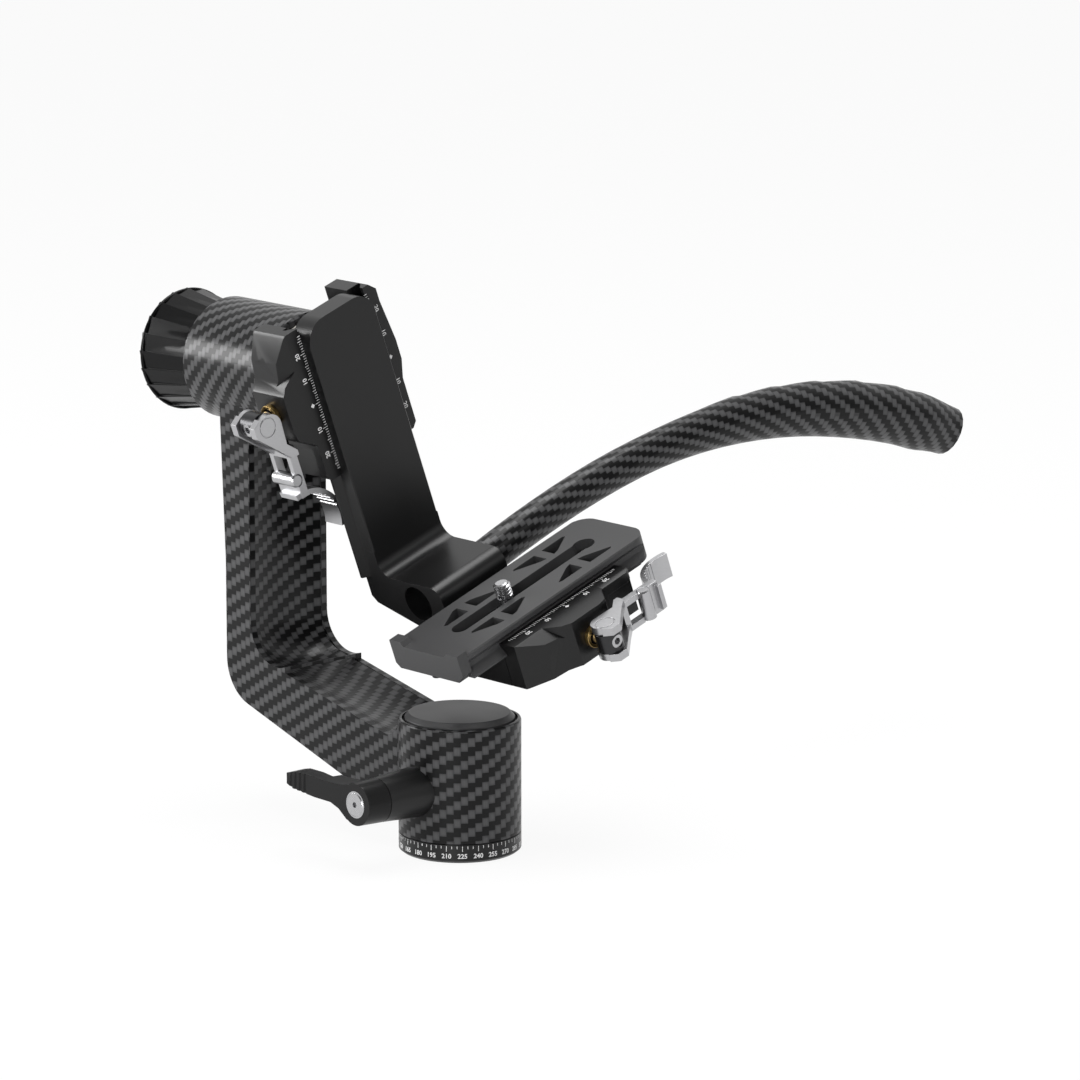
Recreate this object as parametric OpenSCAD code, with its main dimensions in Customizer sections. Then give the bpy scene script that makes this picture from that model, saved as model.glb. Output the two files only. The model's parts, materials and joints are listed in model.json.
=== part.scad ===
// Gimbal tripod head: a panning base, a cranked side arm, a tilting dovetail clamp, an L cradle
// with a quick-release lens plate and a curved steering handle.
// Millimetres. Z is up, X is the tilt axis, the lens looks along +Y.
// The origin is on the pan axis, in the bottom face of the base.

/* [Pan base] */
// Outer diameter of the pan base
base_d = 44.6; // [42:0.2:50]
// Height of the fixed scale ring
ring_h = 6.9; // [5:0.1:10]
// Height of the rim of the rotating housing
housing_h = 49; // [46:0.5:54]
// Diameter of the flat top of the cap
cap_d = 36.6; // [30:0.2:38]
// Height of the cap above the housing rim
cap_rise = 2; // [1:0.1:4]
// Minor diameter of the 3/8 inch tripod thread
tripod_thread_d = 8; // [7.9:0.05:8.2]
// Diameter of the pan spindle
spindle_d = 16; // [14:0.5:18]

/* [Pan lock] */
// Height of the lock's axis
lock_z = 24.8; // [22:0.1:27]
// Diameter of the boss where it meets the housing
boss_d = 19.2; // [16:0.2:20]
// Diameter of the boss at its outer end
boss_end_d = 15.4; // [14:0.2:16]
// Distance from the pan axis to the outer face of the lock
lock_reach = 49.6; // [46:0.2:56]
// Length of the flag lever from the lock's axis
flag_len = 38.5; // [28:0.5:46]

/* [Arm] */
// Width of the arm
arm_w = 37; // [34:0.5:40]
// Distance from the pan axis to the inner face of the upright
arm_inner = 96.5; // [90:0.5:110]
// Thickness of the upright
upright_t = 14.2; // [12:0.2:18]
// Height of the tilt axis above the base
tilt_z = 164.3; // [156:0.1:175]
// Diameter of the tilt barrel
barrel_d = 45.6; // [44:0.2:48]
// Distance from the pan axis to the outer end of the barrel
barrel_out = 130.1; // [126:0.1:136]
// Depth of the hollow along the inner side of the arm
gutter_depth = 3.4; // [1:0.1:4]

/* [Tilt knob] */
// Diameter of the knob's wide rim
knob_d = 46.4; // [44:0.2:54]
// Diameter of the knob next to the barrel
knob_neck_d = 38; // [34:0.5:42]
// Length of the knob
knob_len = 24.5; // [18:0.5:30]
// Number of flutes around the knob
flutes = 21; // [12:1:28]
// Height of a flute's step at the rim
flute_depth = 0.9; // [0.4:0.1:1.6]

/* [Cradle] */
// Tilt of the cradle in the stored pose, in degrees
cradle_tilt = 20.3; // [0:0.1:25]
// Distance from the pan axis to the front plane of the tilt clamp
leg_x = 59; // [57:0.5:64]
// Height of the leg's top above the tilt axis
leg_top = 30.7; // [28:0.1:36]
// Thickness of the leg in front of the clamp
leg_proud = 4.5; // [3:0.1:6]
// Depth of the foot's top below the tilt axis
foot_drop = 72.3; // [70:0.1:76]
// Width of the foot along the lens axis
foot_w = 33; // [30:0.5:36]
// Diameter of the handle socket
socket_d = 14; // [12:0.1:15]

/* [Dovetail clamps] */
// Length of a clamp jaw
jaw_len = 60; // [56:1:66]
// Depth of a clamp
clamp_depth = 17.6; // [17:0.1:20]
// Full width of the dovetail
dovetail_w = 37.9; // [37.5:0.1:38.2]
// Width of the dovetail's waist
waist_w = 32.8; // [32:0.1:33.4]
// Diameter of the clamp's tension stud
stud_d = 5; // [4:0.5:6]
// Extra reach of the plate clamp's outer jaw
plate_jaw_extra = 2; // [0:0.1:4]

/* [Lens plate] */
// Width of the lens plate's top
plate_w = 37; // [36:0.1:40]
// Length of the lens plate without its end flange
plate_len = 94.7; // [80:0.1:120]
// Depth of the plate's top below the tilt axis
plate_drop = 77.4; // [75:0.1:80]
// Depth of the plate clamp's front plane below the tilt axis
plate_clamp_drop = 82.2; // [81:0.1:84]
// Offset of the plate clamp along the lens axis
clamp_shift = 4.3; // [0:0.1:8]
// Offset of the plate's middle along the lens axis
plate_shift = 5.2; // [0:0.1:8]
// Width of the camera screw's slot
slot_w = 6.8; // [6.6:0.1:7]
// Major diameter of the 1/4 inch camera screw
camera_screw_d = 6.35; // [6.3:0.05:6.4]

/* [Handle] */
// Length of the handle along the lens axis
handle_reach = 255; // [200:1:270]
// Drop of the handle's end below the tilt axis
handle_drop = 150; // [120:1:160]
// Thickness of the handle at the foot
handle_neck = 14.6; // [12:0.2:16]
// Thickness of the handle at the palm swell
handle_palm = 22.4; // [18:0.2:24]

/* [Hidden] */

$fn = 72;
eps = 0.01;
// Clearance between faces that slide, on one side
slide_gap = 0.15;
// Radial clearance of a shaft that turns or slides in its bore
run_gap = 0.05;
// Clearance between pieces that turn past each other
face_gap = 0.3;

// ---- pan base ----
base_r = base_d / 2;
spindle_r = spindle_d / 2;
insert_r = 6.5;
insert_h = 9.5;
hub_r = 11;
hub_flange_r = 16;
hub_flange_h = 3;
base_screw_pcd = 27;
base_screws_n = 4;
pan_bearing_r = 14;
pan_bearing_h = 7;
lower_bearing_z = ring_h + 1.6;
spindle_top = housing_h - 9;
upper_bearing_z = spindle_top - pan_bearing_h;
nut_r = 10;
nut_h = 4;
spindle_thread_r = 5.5;
cap_plug_r = 19.5;
cap_rim_r = 20;
groove_r = 21;
groove_h = 5;

// ---- pan lock ----
stud_gap = 0.05;
lock_stud_r = 4.4;
lock_hub_len = 10;
boss_root = 16;
boss_spigot_r = 6.5;
shoe_r = 4.9;
shoe_len = 5;
lock_screw_r = 4.9;
flag_w = 9.8;
flag_t = 5;

// ---- arm ----
arm_hw = arm_w / 2;
arm_outer = arm_inner + upright_t;
outer_round = 17;
inner_round = 15;
gutter_round = 13;
bottom_angle = 17.3;
top_angle = 12.35;
corner_bottom_z = 42.9;
corner_top_z = 58.97;
lean_z = 92;
lean_out = 2.5;
barrel_in = 82;
barrel_r = barrel_d / 2;
tilt_bearing_r = 16;
tilt_bearing_len = 8;
tilt_shaft_r = 10;

// ---- tilt knob ----
knob_x = barrel_out + 0.5;
knob_end = knob_x + knob_len;
drawbar_r = 5;
knob_insert_r = 9;
knob_recess_r = 17.5;
knob_cap_t = 2.5;

// ---- cradle frame: origin on the tilt axis, tilted about X ----
leg_front = leg_x - leg_proud;
dove_t = 4.9;
dove_hw = dovetail_w / 2;
waist_hw = waist_w / 2;
leg_back = leg_x + dove_t;
leg_corner_r = 9;
socket_x = -37;
socket_z = -80.8;
socket_r = socket_d / 2;
foot_nose_x = -22.4;
foot_nose_r = 5.5;
foot_bend_r = 6;

// ---- clamps, in their own frame: u opens the jaw, v runs along it, w points to the held plate ----
deck_w = -(dove_t + slide_gap);
lip_u = waist_hw + slide_gap;
pocket_u = dove_hw + slide_gap + 0.05;
split_u = 17;
fixed_u = 22.4;
jaw_hl = jaw_len / 2;
stud_v = -1;
stud_w = -9.4;
stud_r = stud_d / 2;
pin_v = 20;
pin_w = -11.5;
guide_pin_r = 2;
spring_r = 3.2;
spring_len = 9;
spring_from = 10;
boss_u = 31.3;
saddle_t = 2;
cam_gap = 0.15;
cam_throw = 1.5;
cam_angle = 35;
cam_r = 5.2;
lever_w = 13.6;
cheek_t = 3;
// From the jaw's boss to the lever's pivot
pivot_u = boss_u + saddle_t + cam_gap + cam_r + cam_throw * cos(cam_angle);
pivot_pin_r = 3;
pin_skin = 0.8;
saddle_r = 5.8;
barrel_nut_r = 4.8;
arm_u = 30.2;
arm_t = 3.3;
arm_end_v = 32;
latch_v = 24.6;
latch_r = 2.5;

// ---- lens plate ----
plate_hw = plate_w / 2;
plate_near = plate_shift - plate_len / 2;
plate_far = plate_shift + plate_len / 2;
plate_bottom = -plate_clamp_drop - dove_t;
plate_corner_r = 8;
flange_t = 4.6;
tab_rise = 1.7;
slot_near = -28;
slot_far = 36;
keyhole_r = 4.2;
screw_y = -5;
camera_screw_len = 6.2;
screw_neck_r = 2.6;
screw_neck_rise = 0.3;
head_track_w = 13;
head_track_h = 6;

// ---- handle, in the cradle frame ----
handle_start = foot_w / 2 + 0.3;
handle_rings = 64;
handle_sides = 20;
handle_p0 = [handle_start, -80.5];
handle_p1 = [90, -75];
handle_p2 = [175, -80];
handle_p3 = [handle_reach, -handle_drop];
scallops = 5;

// Places its children in the cradle's frame
module cradle_frame() {
    translate([0, 0, tilt_z]) rotate([cradle_tilt, 0, 0]) children();
}

// Places its children in the tilt clamp's frame: u is -Y', v is -Z', w is +X
module tilt_clamp_frame() {
    cradle_frame() translate([-leg_x, 0, 0]) rotate([-90, 0, 0]) rotate([0, 90, 0]) children();
}

// Places its children in the plate clamp's frame: u is +X, v is +Y', w is +Z'
module plate_clamp_frame() {
    cradle_frame() translate([0, clamp_shift, -plate_clamp_drop]) children();
}

// A cylinder along X from x0 to x1
module along_x(r, x0, x1) {
    translate([min(x0, x1), 0, 0]) rotate([0, 90, 0]) cylinder(r = r, h = abs(x1 - x0));
}

// A cylinder along Y from y0 to y1
module along_y(r, y0, y1) {
    translate([0, max(y0, y1), 0]) rotate([90, 0, 0]) cylinder(r = r, h = abs(y1 - y0));
}

// A ring with a straight bore
module ring(r_out, r_in, h) {
    difference() {
        cylinder(r = r_out, h = h);
        translate([0, 0, -1]) cylinder(r = r_in, h = h + 2);
    }
}

// A socket-head cap screw along +Z, its head from z = 0 up, its shank below
module cap_screw(shank_r, shank_len, head_r, head_h, key_r) {
    difference() {
        union() {
            cylinder(r = head_r, h = head_h);
            translate([0, 0, -shank_len]) cylinder(r = shank_r, h = shank_len + eps);
        }
        translate([0, 0, head_h * 0.4]) cylinder(r = key_r, h = head_h, $fn = 6);
    }
}

// ---------------------------------------------------------------- pan base

module base_screw_places() {
    for (i = [0 : base_screws_n - 1])
        rotate(45 + i * 360 / base_screws_n) translate([base_screw_pcd / 2, 0, 0]) children();
}

module scale_ring() {
    color("#1c1c1d") difference() {
        rotate_extrude() polygon([
            [hub_r, 0], [base_r - 1.2, 0], [base_r, 1], [base_r, ring_h],
            [hub_flange_r, ring_h], [hub_flange_r, ring_h - hub_flange_h], [hub_r, ring_h - hub_flange_h]
        ]);
        base_screw_places() {
            translate([0, 0, -1]) cylinder(r = 1.5, h = ring_h);
            translate([0, 0, -1]) cylinder(r = 2.8, h = 1 + 1.9);
        }
    }
}

module spindle() {
    color("#8d9094") difference() {
        rotate_extrude() polygon([
            [insert_r, 0.4], [hub_r, 0.4], [hub_r, ring_h - hub_flange_h],
            [hub_flange_r, ring_h - hub_flange_h], [hub_flange_r, ring_h], [spindle_r, ring_h],
            [spindle_r, spindle_top], [spindle_thread_r, spindle_top],
            [spindle_thread_r, spindle_top + nut_h + 0.8], [0, spindle_top + nut_h + 0.8],
            [0, insert_h], [insert_r, insert_h]
        ]);
        base_screw_places() translate([0, 0, 2]) cylinder(r = 1.5, h = ring_h);
    }
}

module tripod_insert() {
    color("#c8c9cb") ring(insert_r, tripod_thread_d / 2, insert_h);
}

module base_screws() {
    color("#b8babd") base_screw_places() translate([0, 0, 1.9])
        mirror([0, 0, 1]) cap_screw(1.5, ring_h - 1.9, 2.75, 1.6, 1);
}

module spindle_nut() {
    color("#b8babd") translate([0, 0, spindle_top + 0.3]) difference() {
        cylinder(r = nut_r, h = nut_h);
        translate([0, 0, -1]) cylinder(r = spindle_thread_r, h = nut_h + 2);
        for (a = [0 : 90 : 270]) rotate(a) translate([nut_r, 0, nut_h]) cube([4, 2.4, 3], center = true);
    }
}

// ---------------------------------------------------------------- arm

// Height of the arm's underside at a distance x from the pan axis
function bottom_z(x) = corner_bottom_z - (arm_outer - x) * tan(bottom_angle);
// Height of the strut's upper side at a distance x from the pan axis
function top_z(x) = corner_top_z - (arm_inner - x) * tan(top_angle);

outer_run = outer_round / tan(45 + bottom_angle / 2);
inner_run = inner_round / tan(45 + top_angle / 2);
outer_centre = [-(arm_outer - outer_round), corner_bottom_z + outer_run];
inner_centre = [-(arm_inner - inner_round), corner_top_z + inner_run];

// Side view of the strut and the upright, x across and z up
module arm_profile() {
    root_x = 8;
    difference() {
        union() {
            polygon([
                [-root_x, bottom_z(root_x)],
                [-(arm_outer - outer_run * cos(bottom_angle)), corner_bottom_z - outer_run * sin(bottom_angle)],
                outer_centre,
                [-arm_outer, corner_bottom_z + outer_run],
                [-arm_outer, lean_z],
                [-(arm_outer + lean_out), tilt_z - 18],
                [-(arm_outer + lean_out), tilt_z],
                [-arm_inner, tilt_z],
                [-arm_inner, inner_centre[1]],
                inner_centre,
                [-(arm_inner - inner_run * cos(top_angle)), corner_top_z - inner_run * sin(top_angle)],
                [-root_x, top_z(root_x)]
            ]);
            translate(outer_centre) circle(r = outer_round);
            blend_at_housing();
        }
        translate(inner_centre) circle(r = inner_round);
    }
}

// Fills the corner where the strut's upper edge turns up to the housing's rim
module blend_at_housing() {
    r = 7;
    x0 = 19.5;
    difference() {
        translate([-x0, top_z(x0) - 2]) square([x0 - 12.4, housing_h - 0.6 - top_z(x0) + 2]);
        translate([-x0, top_z(x0) + r]) circle(r = r);
        translate([-x0 - 1, top_z(x0) + r]) square([r + 1, r]);
    }
}

// Cross-section of the hollow on the arm's inner side, depth along +x
module gutter_section(inset = 0) {
    h = arm_hw - 2.6 - inset;
    d = gutter_depth - inset;
    polygon([
        [-1, -h], [0.2, -h], [0.55 * d, -0.74 * h], [0.9 * d, -0.42 * h], [d, -0.14 * h],
        [d, 0.14 * h], [0.9 * d, 0.42 * h], [0.55 * d, 0.74 * h], [0.2, h], [-1, h]
    ]);
}

// The hollow follows the upright, the inner corner and the strut, and stops short of both ends
module gutter() {
    centre = [-(arm_inner - gutter_round), corner_top_z + gutter_round / tan(45 + top_angle / 2)];
    difference() {
        translate([centre[0], 0, centre[1]]) {
            translate([-gutter_round, 0, 0]) mirror([1, 0, 0])
                linear_extrude(height = tilt_z - centre[1]) gutter_section();
            rotate([90, 0, 0]) rotate(180)
                rotate_extrude(angle = 90 - top_angle) translate([gutter_round, 0]) gutter_section();
            rotate([0, top_angle, 0]) translate([0, 0, -gutter_round]) rotate([0, 90, 0])
                linear_extrude(height = arm_inner) gutter_section(0.06);
        }
        cylinder(r = base_r + 3.4, h = 2 * housing_h, $fn = 96);
        translate([0, 0, tilt_z]) along_x(barrel_r + 2.5, -barrel_out, 0);
    }
}

module arm() {
    lip = 0.8;
    color("#3a3a3c") difference() {
        union() {
            rotate_extrude($fn = 96) polygon([
                [0, ring_h + face_gap], [base_r, ring_h + face_gap], [base_r, housing_h - lip],
                [base_r - lip * 0.3, housing_h - lip * 0.3], [base_r - lip, housing_h], [0, housing_h]
            ]);
            difference() {
                translate([0, arm_hw, 0]) rotate([90, 0, 0]) linear_extrude(height = arm_w) arm_profile();
                gutter();
            }
            translate([0, 0, tilt_z]) rotate([0, -90, 0]) rotate_extrude($fn = 96) polygon([
                [0, barrel_in], [barrel_r - lip, barrel_in], [barrel_r, barrel_in + lip],
                [barrel_r, barrel_out - lip], [barrel_r - lip, barrel_out], [0, barrel_out]
            ]);
        }
        // bearing bore, cap groove and spindle hole
        translate([0, 0, lower_bearing_z]) cylinder(r = pan_bearing_r, h = housing_h);
        translate([0, 0, -1]) cylinder(r = hub_r + 1, h = housing_h);
        translate([0, 0, housing_h - groove_h]) cylinder(r = groove_r, h = 10);
        // pan lock hole
        translate([0, 0, lock_z]) along_y(boss_spigot_r, -base_r - 5, -pan_bearing_r + 1);
        // tilt shaft bore
        translate([0, 0, tilt_z]) along_x(tilt_bearing_r, -barrel_out - 1, -barrel_in + 1);
    }
}

module pan_bearings() {
    color("#9a9da1") for (z = [lower_bearing_z, upper_bearing_z]) translate([0, 0, z]) difference() {
        ring(pan_bearing_r, spindle_r + run_gap, pan_bearing_h);
        for (end = [-0.1, pan_bearing_h - 0.5])
            translate([0, 0, end]) ring(pan_bearing_r - 1.6, spindle_r + 1.6, 0.6);
    }
}

module pan_cap() {
    top = housing_h + cap_rise;
    color("#6d6e70") rotate_extrude($fn = 96) polygon([
        [0, housing_h - groove_h + 1], [cap_plug_r, housing_h - groove_h + 1], [cap_plug_r, housing_h - 1.5],
        [cap_rim_r, housing_h - 1.5], [cap_rim_r, housing_h + 0.4], [cap_d / 2 + 0.3, top - 0.25],
        [cap_d / 2, top], [0, top]
    ]);
}

module cap_ring() {
    color("#0f0f10") translate([0, 0, housing_h - groove_h]) ring(groove_r, cap_plug_r, groove_h - 1.7);
}

module pan_lock_boss() {
    color("#161617") difference() {
        translate([0, 0, lock_z]) union() {
            translate([0, -boss_root, 0]) rotate([90, 0, 0])
                cylinder(r1 = boss_d / 2, r2 = boss_end_d / 2 + 0.4, h = lock_reach - lock_hub_len - boss_root - face_gap);
        }
        cylinder(r = base_r, h = housing_h);
        translate([0, 0, lock_z]) along_y(lock_stud_r + stud_gap, -lock_reach, 0);
    }
    color("#161617") difference() {
        translate([0, 0, lock_z]) along_y(boss_spigot_r, -base_r - 0.6, -pan_bearing_r - 0.6);
        translate([0, 0, lock_z]) along_y(lock_stud_r + stud_gap, -lock_reach, 0);
        translate([0, 0, lock_z]) along_y(shoe_r + run_gap, -pan_bearing_r - 3, 0);
    }
}

module pan_lock_stud() {
    color("#a7aaad") translate([0, 0, lock_z]) difference() {
        along_y(lock_stud_r, -lock_reach + 4, -pan_bearing_r - 3.4);
        along_y(1.25, -lock_reach - 1, -lock_reach + 12);
    }
}

module pan_brake_shoe() {
    color("#7a4a2a") difference() {
        translate([0, 0, lock_z]) along_y(shoe_r, -pan_bearing_r - 2.7, -spindle_r + 1);
        cylinder(r = spindle_r + face_gap, h = housing_h);
    }
}

module pan_lock_lever() {
    hub_back = lock_reach - lock_hub_len;
    color("#141415") difference() {
        translate([0, 0, lock_z]) union() {
            translate([0, -hub_back, 0]) rotate([90, 0, 0])
                cylinder(r1 = boss_end_d / 2 + 0.4, r2 = boss_end_d / 2, h = lock_hub_len);
            // paddle, seen from the front, with a waist next to the hub
            translate([0, -lock_reach + flag_w + 0.1, 0]) rotate([90, 0, 0]) linear_extrude(height = flag_w)
                polygon([
                    [0, 7.4], [-8, 5.8], [-16, 5.6], [-26, 6], [-flag_len + 4, 5.6], [-flag_len, 4.6],
                    [-flag_len, 0.6], [-flag_len + 3, -0.6], [-23, -1.6], [-14, -1.7], [-9.5, -3.2], [-5, -6.4], [0, -7]
                ]);
        }
        // grip notches along the paddle's front edge
        for (i = [0 : 3])
            translate([-flag_len + 2.4 + 2.6 * i, -lock_reach - 0.4, lock_z])
                cylinder(r = 0.9, h = 20, center = true, $fn = 24);
        // the paddle's rear edge slopes in towards its tip
        translate([-flag_len - 1, -lock_reach + flag_w - 1.2, lock_z - 10]) rotate([0, 0, -7]) cube([20, 6, 20]);
        // the screw's seat and the stud's socket
        translate([0, 0, lock_z]) along_y(lock_screw_r, -lock_reach - 1, -lock_reach + 2.2);
        translate([0, 0, lock_z]) along_y(lock_stud_r, -lock_reach + 4, -lock_reach + 20);
        translate([0, 0, lock_z]) along_y(1.25, -lock_reach - 1, -lock_reach + 5);
    }
}

module pan_lock_screw() {
    color("#d5d6d8") translate([0, -lock_reach + 2.2, lock_z]) rotate([90, 0, 0]) difference() {
        union() {
            cylinder(r = lock_screw_r, h = 2.3);
            translate([0, 0, 2.3 - eps]) cylinder(r1 = lock_screw_r - 0.5, r2 = lock_screw_r - 0.9, h = 0.3);
            translate([0, 0, -9]) cylinder(r = 1.25, h = 9 + eps);
        }
        translate([0, 0, 0.8]) cylinder(r = 1.1, h = 5, $fn = 6);
    }
}

module tilt_bearings() {
    color("#9a9da1") translate([0, 0, tilt_z])
        for (x = [-barrel_out + 3, -barrel_in - 3 - tilt_bearing_len])
            translate([x, 0, 0]) rotate([0, 90, 0]) difference() {
                ring(tilt_bearing_r, tilt_shaft_r + run_gap, tilt_bearing_len);
                for (end = [-0.1, tilt_bearing_len - 0.5])
                    translate([0, 0, end]) ring(tilt_bearing_r - 1.7, tilt_shaft_r + 1.7, 0.6);
            }
}

// ---------------------------------------------------------------- tilt knob

// One saw-tooth cut: a flat floor that starts under the cone's surface and rises to it at the next cut
module flute_cut() {
    share = 1 - flute_depth / (knob_d / 2);
    slope = atan(share * (knob_d - knob_neck_d) / 2 / knob_len);
    step = 360 / flutes;
    rotate([0, slope, 0]) translate([share * knob_neck_d / 2 * cos(slope), 0, 0])
        rotate([0, 0, atan((share - cos(step)) / sin(step))]) translate([0, 0, -6])
            cube([8, knob_d * sin(step / 2) * 1.4, knob_len + 14]);
}

module tilt_knob() {
    color("#101011") translate([-knob_x, 0, tilt_z]) rotate([0, -90, 0]) difference() {
        union() {
            difference() {
                cylinder(r1 = knob_neck_d / 2 + 0.3, r2 = knob_d / 2 + 0.3, h = knob_len);
                for (i = [0 : flutes - 1]) rotate(i * 360 / flutes) flute_cut();
            }
            // the flutes fade out towards the neck
            cylinder(r1 = knob_neck_d / 2 - 0.25, r2 = knob_d / 2 - flute_depth - 0.1, h = knob_len);
        }
        translate([0, 0, -1]) cylinder(r = knob_insert_r, h = knob_len + 2);
        translate([0, 0, knob_len - 3]) cylinder(r = knob_recess_r, h = 4);
        translate([0, 0, -eps]) difference() {
            cylinder(r = knob_neck_d / 2 + 1, h = 0.6);
            cylinder(r = knob_neck_d / 2 - 1.6, h = 2, center = true);
        }
    }
}

module knob_insert() {
    color("#b08d45") translate([-knob_x, 0, tilt_z]) rotate([0, -90, 0])
        ring(knob_insert_r, drawbar_r + run_gap, knob_len - 3);
}

module knob_cap() {
    color("#1b1b1c") translate([-knob_end + 3, 0, tilt_z]) rotate([0, -90, 0]) difference() {
        union() {
            cylinder(r = knob_recess_r, h = knob_cap_t - 0.6);
            translate([0, 0, knob_cap_t - 0.6 - eps]) cylinder(r1 = knob_recess_r, r2 = knob_recess_r - 0.8, h = 0.6);
        }
        translate([0, 0, -1]) cylinder(r = 2.5, h = knob_cap_t + 2);
        translate([0, 0, 1]) cylinder(r = 4.6, h = 4);
    }
}

module knob_screw() {
    color("#c9cacc") translate([-knob_end + 2, 0, tilt_z]) rotate([0, -90, 0]) difference() {
        union() {
            cylinder(r = 4.5, h = 1.2);
            translate([0, 0, -1]) cylinder(r = 2.5, h = 1 + eps);
        }
        translate([0, 0, 0.3]) cylinder(r = 1.8, h = 2, $fn = 6);
    }
}

// ---------------------------------------------------------------- tilt head

module tilt_shaft() {
    back = leg_x + clamp_depth;
    color("#8d9094") translate([0, 0, tilt_z]) rotate([0, -90, 0]) difference() {
        union() {
            translate([0, 0, back]) cylinder(r = 20, h = barrel_in - 1 - back);
            translate([0, 0, back]) cylinder(r = tilt_shaft_r, h = barrel_out - 0.6 - back);
            translate([0, 0, back]) cylinder(r = drawbar_r, h = knob_end - 6 - back);
        }
        tilt_screw_places() translate([0, 0, back - 1]) cylinder(r = 1.6, h = 6);
    }
}

module friction_washer() {
    color("#e8e4d8") translate([-barrel_in + 0.3, 0, tilt_z]) rotate([0, 90, 0]) ring(20, tilt_shaft_r, 0.7);
}

// The four screws that hold the clamp to the shaft's flange, seen along the tilt axis
module tilt_screw_places() {
    for (a = [45 : 90 : 315]) rotate(a - cradle_tilt) translate([14, 0, 0]) children();
}

module tilt_clamp_screws() {
    color("#2a2a2b") translate([0, 0, tilt_z]) rotate([0, -90, 0]) tilt_screw_places()
        translate([0, 0, leg_x - deck_w + 3.4]) mirror([0, 0, 1]) cap_screw(1.6, 12, 3.4, 3, 1.25);
}

// ---------------------------------------------------------------- dovetail clamp parts

// Cross-section of the fixed jaw and the deck, u across and w up
module clamp_body_section() {
    polygon([
        [-lip_u, 0], [-fixed_u + 1, 0], [-fixed_u, -1], [-fixed_u, -clamp_depth + 1.5],
        [-fixed_u + 1.5, -clamp_depth], [split_u, -clamp_depth], [split_u, deck_w], [-pocket_u, deck_w],
        [-pocket_u, -1.25 - (pocket_u - lip_u)], [-lip_u, -1.25]
    ]);
}

// Plan of the clamp body: a shallow bulge in the middle and bevelled corners
module clamp_body_plan() {
    polygon([
        [split_u + 1, -jaw_hl], [-19.4, -jaw_hl], [-fixed_u, -jaw_hl + 3], [-fixed_u, -22], [-fixed_u - 2, -5],
        [-fixed_u - 2, 3], [-fixed_u, 10], [-fixed_u, jaw_hl - 2], [-20.4, jaw_hl], [split_u + 1, jaw_hl]
    ]);
}

// The bores that the stud and the guide pins share
module clamp_bores(stud_clear, pin_clear, u0, u1) {
    translate([0, stud_v, stud_w]) along_x(stud_r + stud_clear, u0, u1);
    for (s = [-1, 1]) translate([0, s * pin_v, pin_w]) along_x(guide_pin_r + pin_clear, u0, u1);
}

module clamp_body(mount_flat) {
    difference() {
        intersection() {
            rotate([90, 0, 0]) translate([0, 0, -jaw_hl]) linear_extrude(height = jaw_len)
                polygon([
                    [-lip_u, 0], [-fixed_u - 2, 0], [-fixed_u - 2, -clamp_depth], [split_u, -clamp_depth],
                    [split_u, deck_w], [-pocket_u, deck_w], [-pocket_u, -1.25 - (pocket_u - lip_u)], [-lip_u, -1.25]
                ]);
            translate([0, 0, -clamp_depth - 1]) linear_extrude(height = clamp_depth + 2)
                if (mount_flat) polygon([
                    [split_u + 1, -jaw_hl], [-19.4, -jaw_hl], [-fixed_u, -jaw_hl + 3],
                    [-fixed_u, jaw_hl - 2], [-20.4, jaw_hl], [split_u + 1, jaw_hl]
                ]);
                else clamp_body_plan();
        }
        clamp_bores(0, 0, split_u - 16, split_u + 1);
        for (s = [-1, 1]) translate([0, s * pin_v, pin_w]) along_x(spring_r + 0.3, spring_from, split_u + 1);
        // hollows that lighten the deck
        for (s = [-1, 1]) translate([0, s * 25, deck_w]) cube([22, 5, 3], center = true);
    }
}

// Plan of the moving jaw with the boss that carries the lever
module jaw_plan(extra) {
    e = extra;
    polygon([
        [lip_u, -jaw_hl], [22.6 + e, -jaw_hl], [23.4 + e, -jaw_hl + 1], [27.6 + e, -20.4], [28.4 + e, -13.8],
        [boss_u - 0.8 + e, -9.9], [boss_u - 0.3 + e, -9.3], [boss_u + e, -8.8], [boss_u + e, 5.6], [boss_u - 1 + e, 9.4],
        [24.6 + e, 13.4], [22.8 + e, 15.4], [22.8 + e, jaw_hl - 2], [21.4 + e, jaw_hl], [lip_u, jaw_hl]
    ]);
}

module clamp_jaw(extra, end_bevels) {
    inner = split_u + face_gap;
    difference() {
        intersection() {
            rotate([90, 0, 0]) translate([0, 0, -jaw_hl]) linear_extrude(height = jaw_len)
                polygon([
                    [lip_u, 0], [60, 0], [60, -clamp_depth], [inner, -clamp_depth],
                    [inner, deck_w], [pocket_u, deck_w], [pocket_u, -1.25 - (pocket_u - lip_u)], [lip_u, -1.25]
                ]);
            translate([0, 0, -clamp_depth - 1]) linear_extrude(height = clamp_depth + 2) jaw_plan(extra);
        }
        translate([extra, 0, 0]) clamp_bores(0.6, run_gap, 0, 60);
        for (s = [-1, 1]) translate([0, s * pin_v, pin_w]) along_x(spring_r + 0.3, 0, spring_from + spring_len + 0.3);
        // steep bevel from the front face down to the flared end
        intersection() {
            translate([22.8 + extra, -jaw_hl - 1, 0]) rotate([0, 36, 0]) cube([30, 40, 20]);
            translate([0, 0, -20]) linear_extrude(height = 30)
                polygon([[20, -40], [60, -40], [60, -11], [31 + extra, -11], [22.8 + extra, -16], [20, -16]]);
        }
        // shallow bevel at the end under the lever
        translate([20.4 + extra, 14.8, 0]) rotate([0, end_bevels ? 14 : 8, 0]) cube([20, 20, 10]);
        // thumb-tab clearance under the lever's arm
        translate([21.2 + extra, 17, -clamp_depth - 1]) cube([12, jaw_len, clamp_depth - 3.4]);
    }
}

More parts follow.
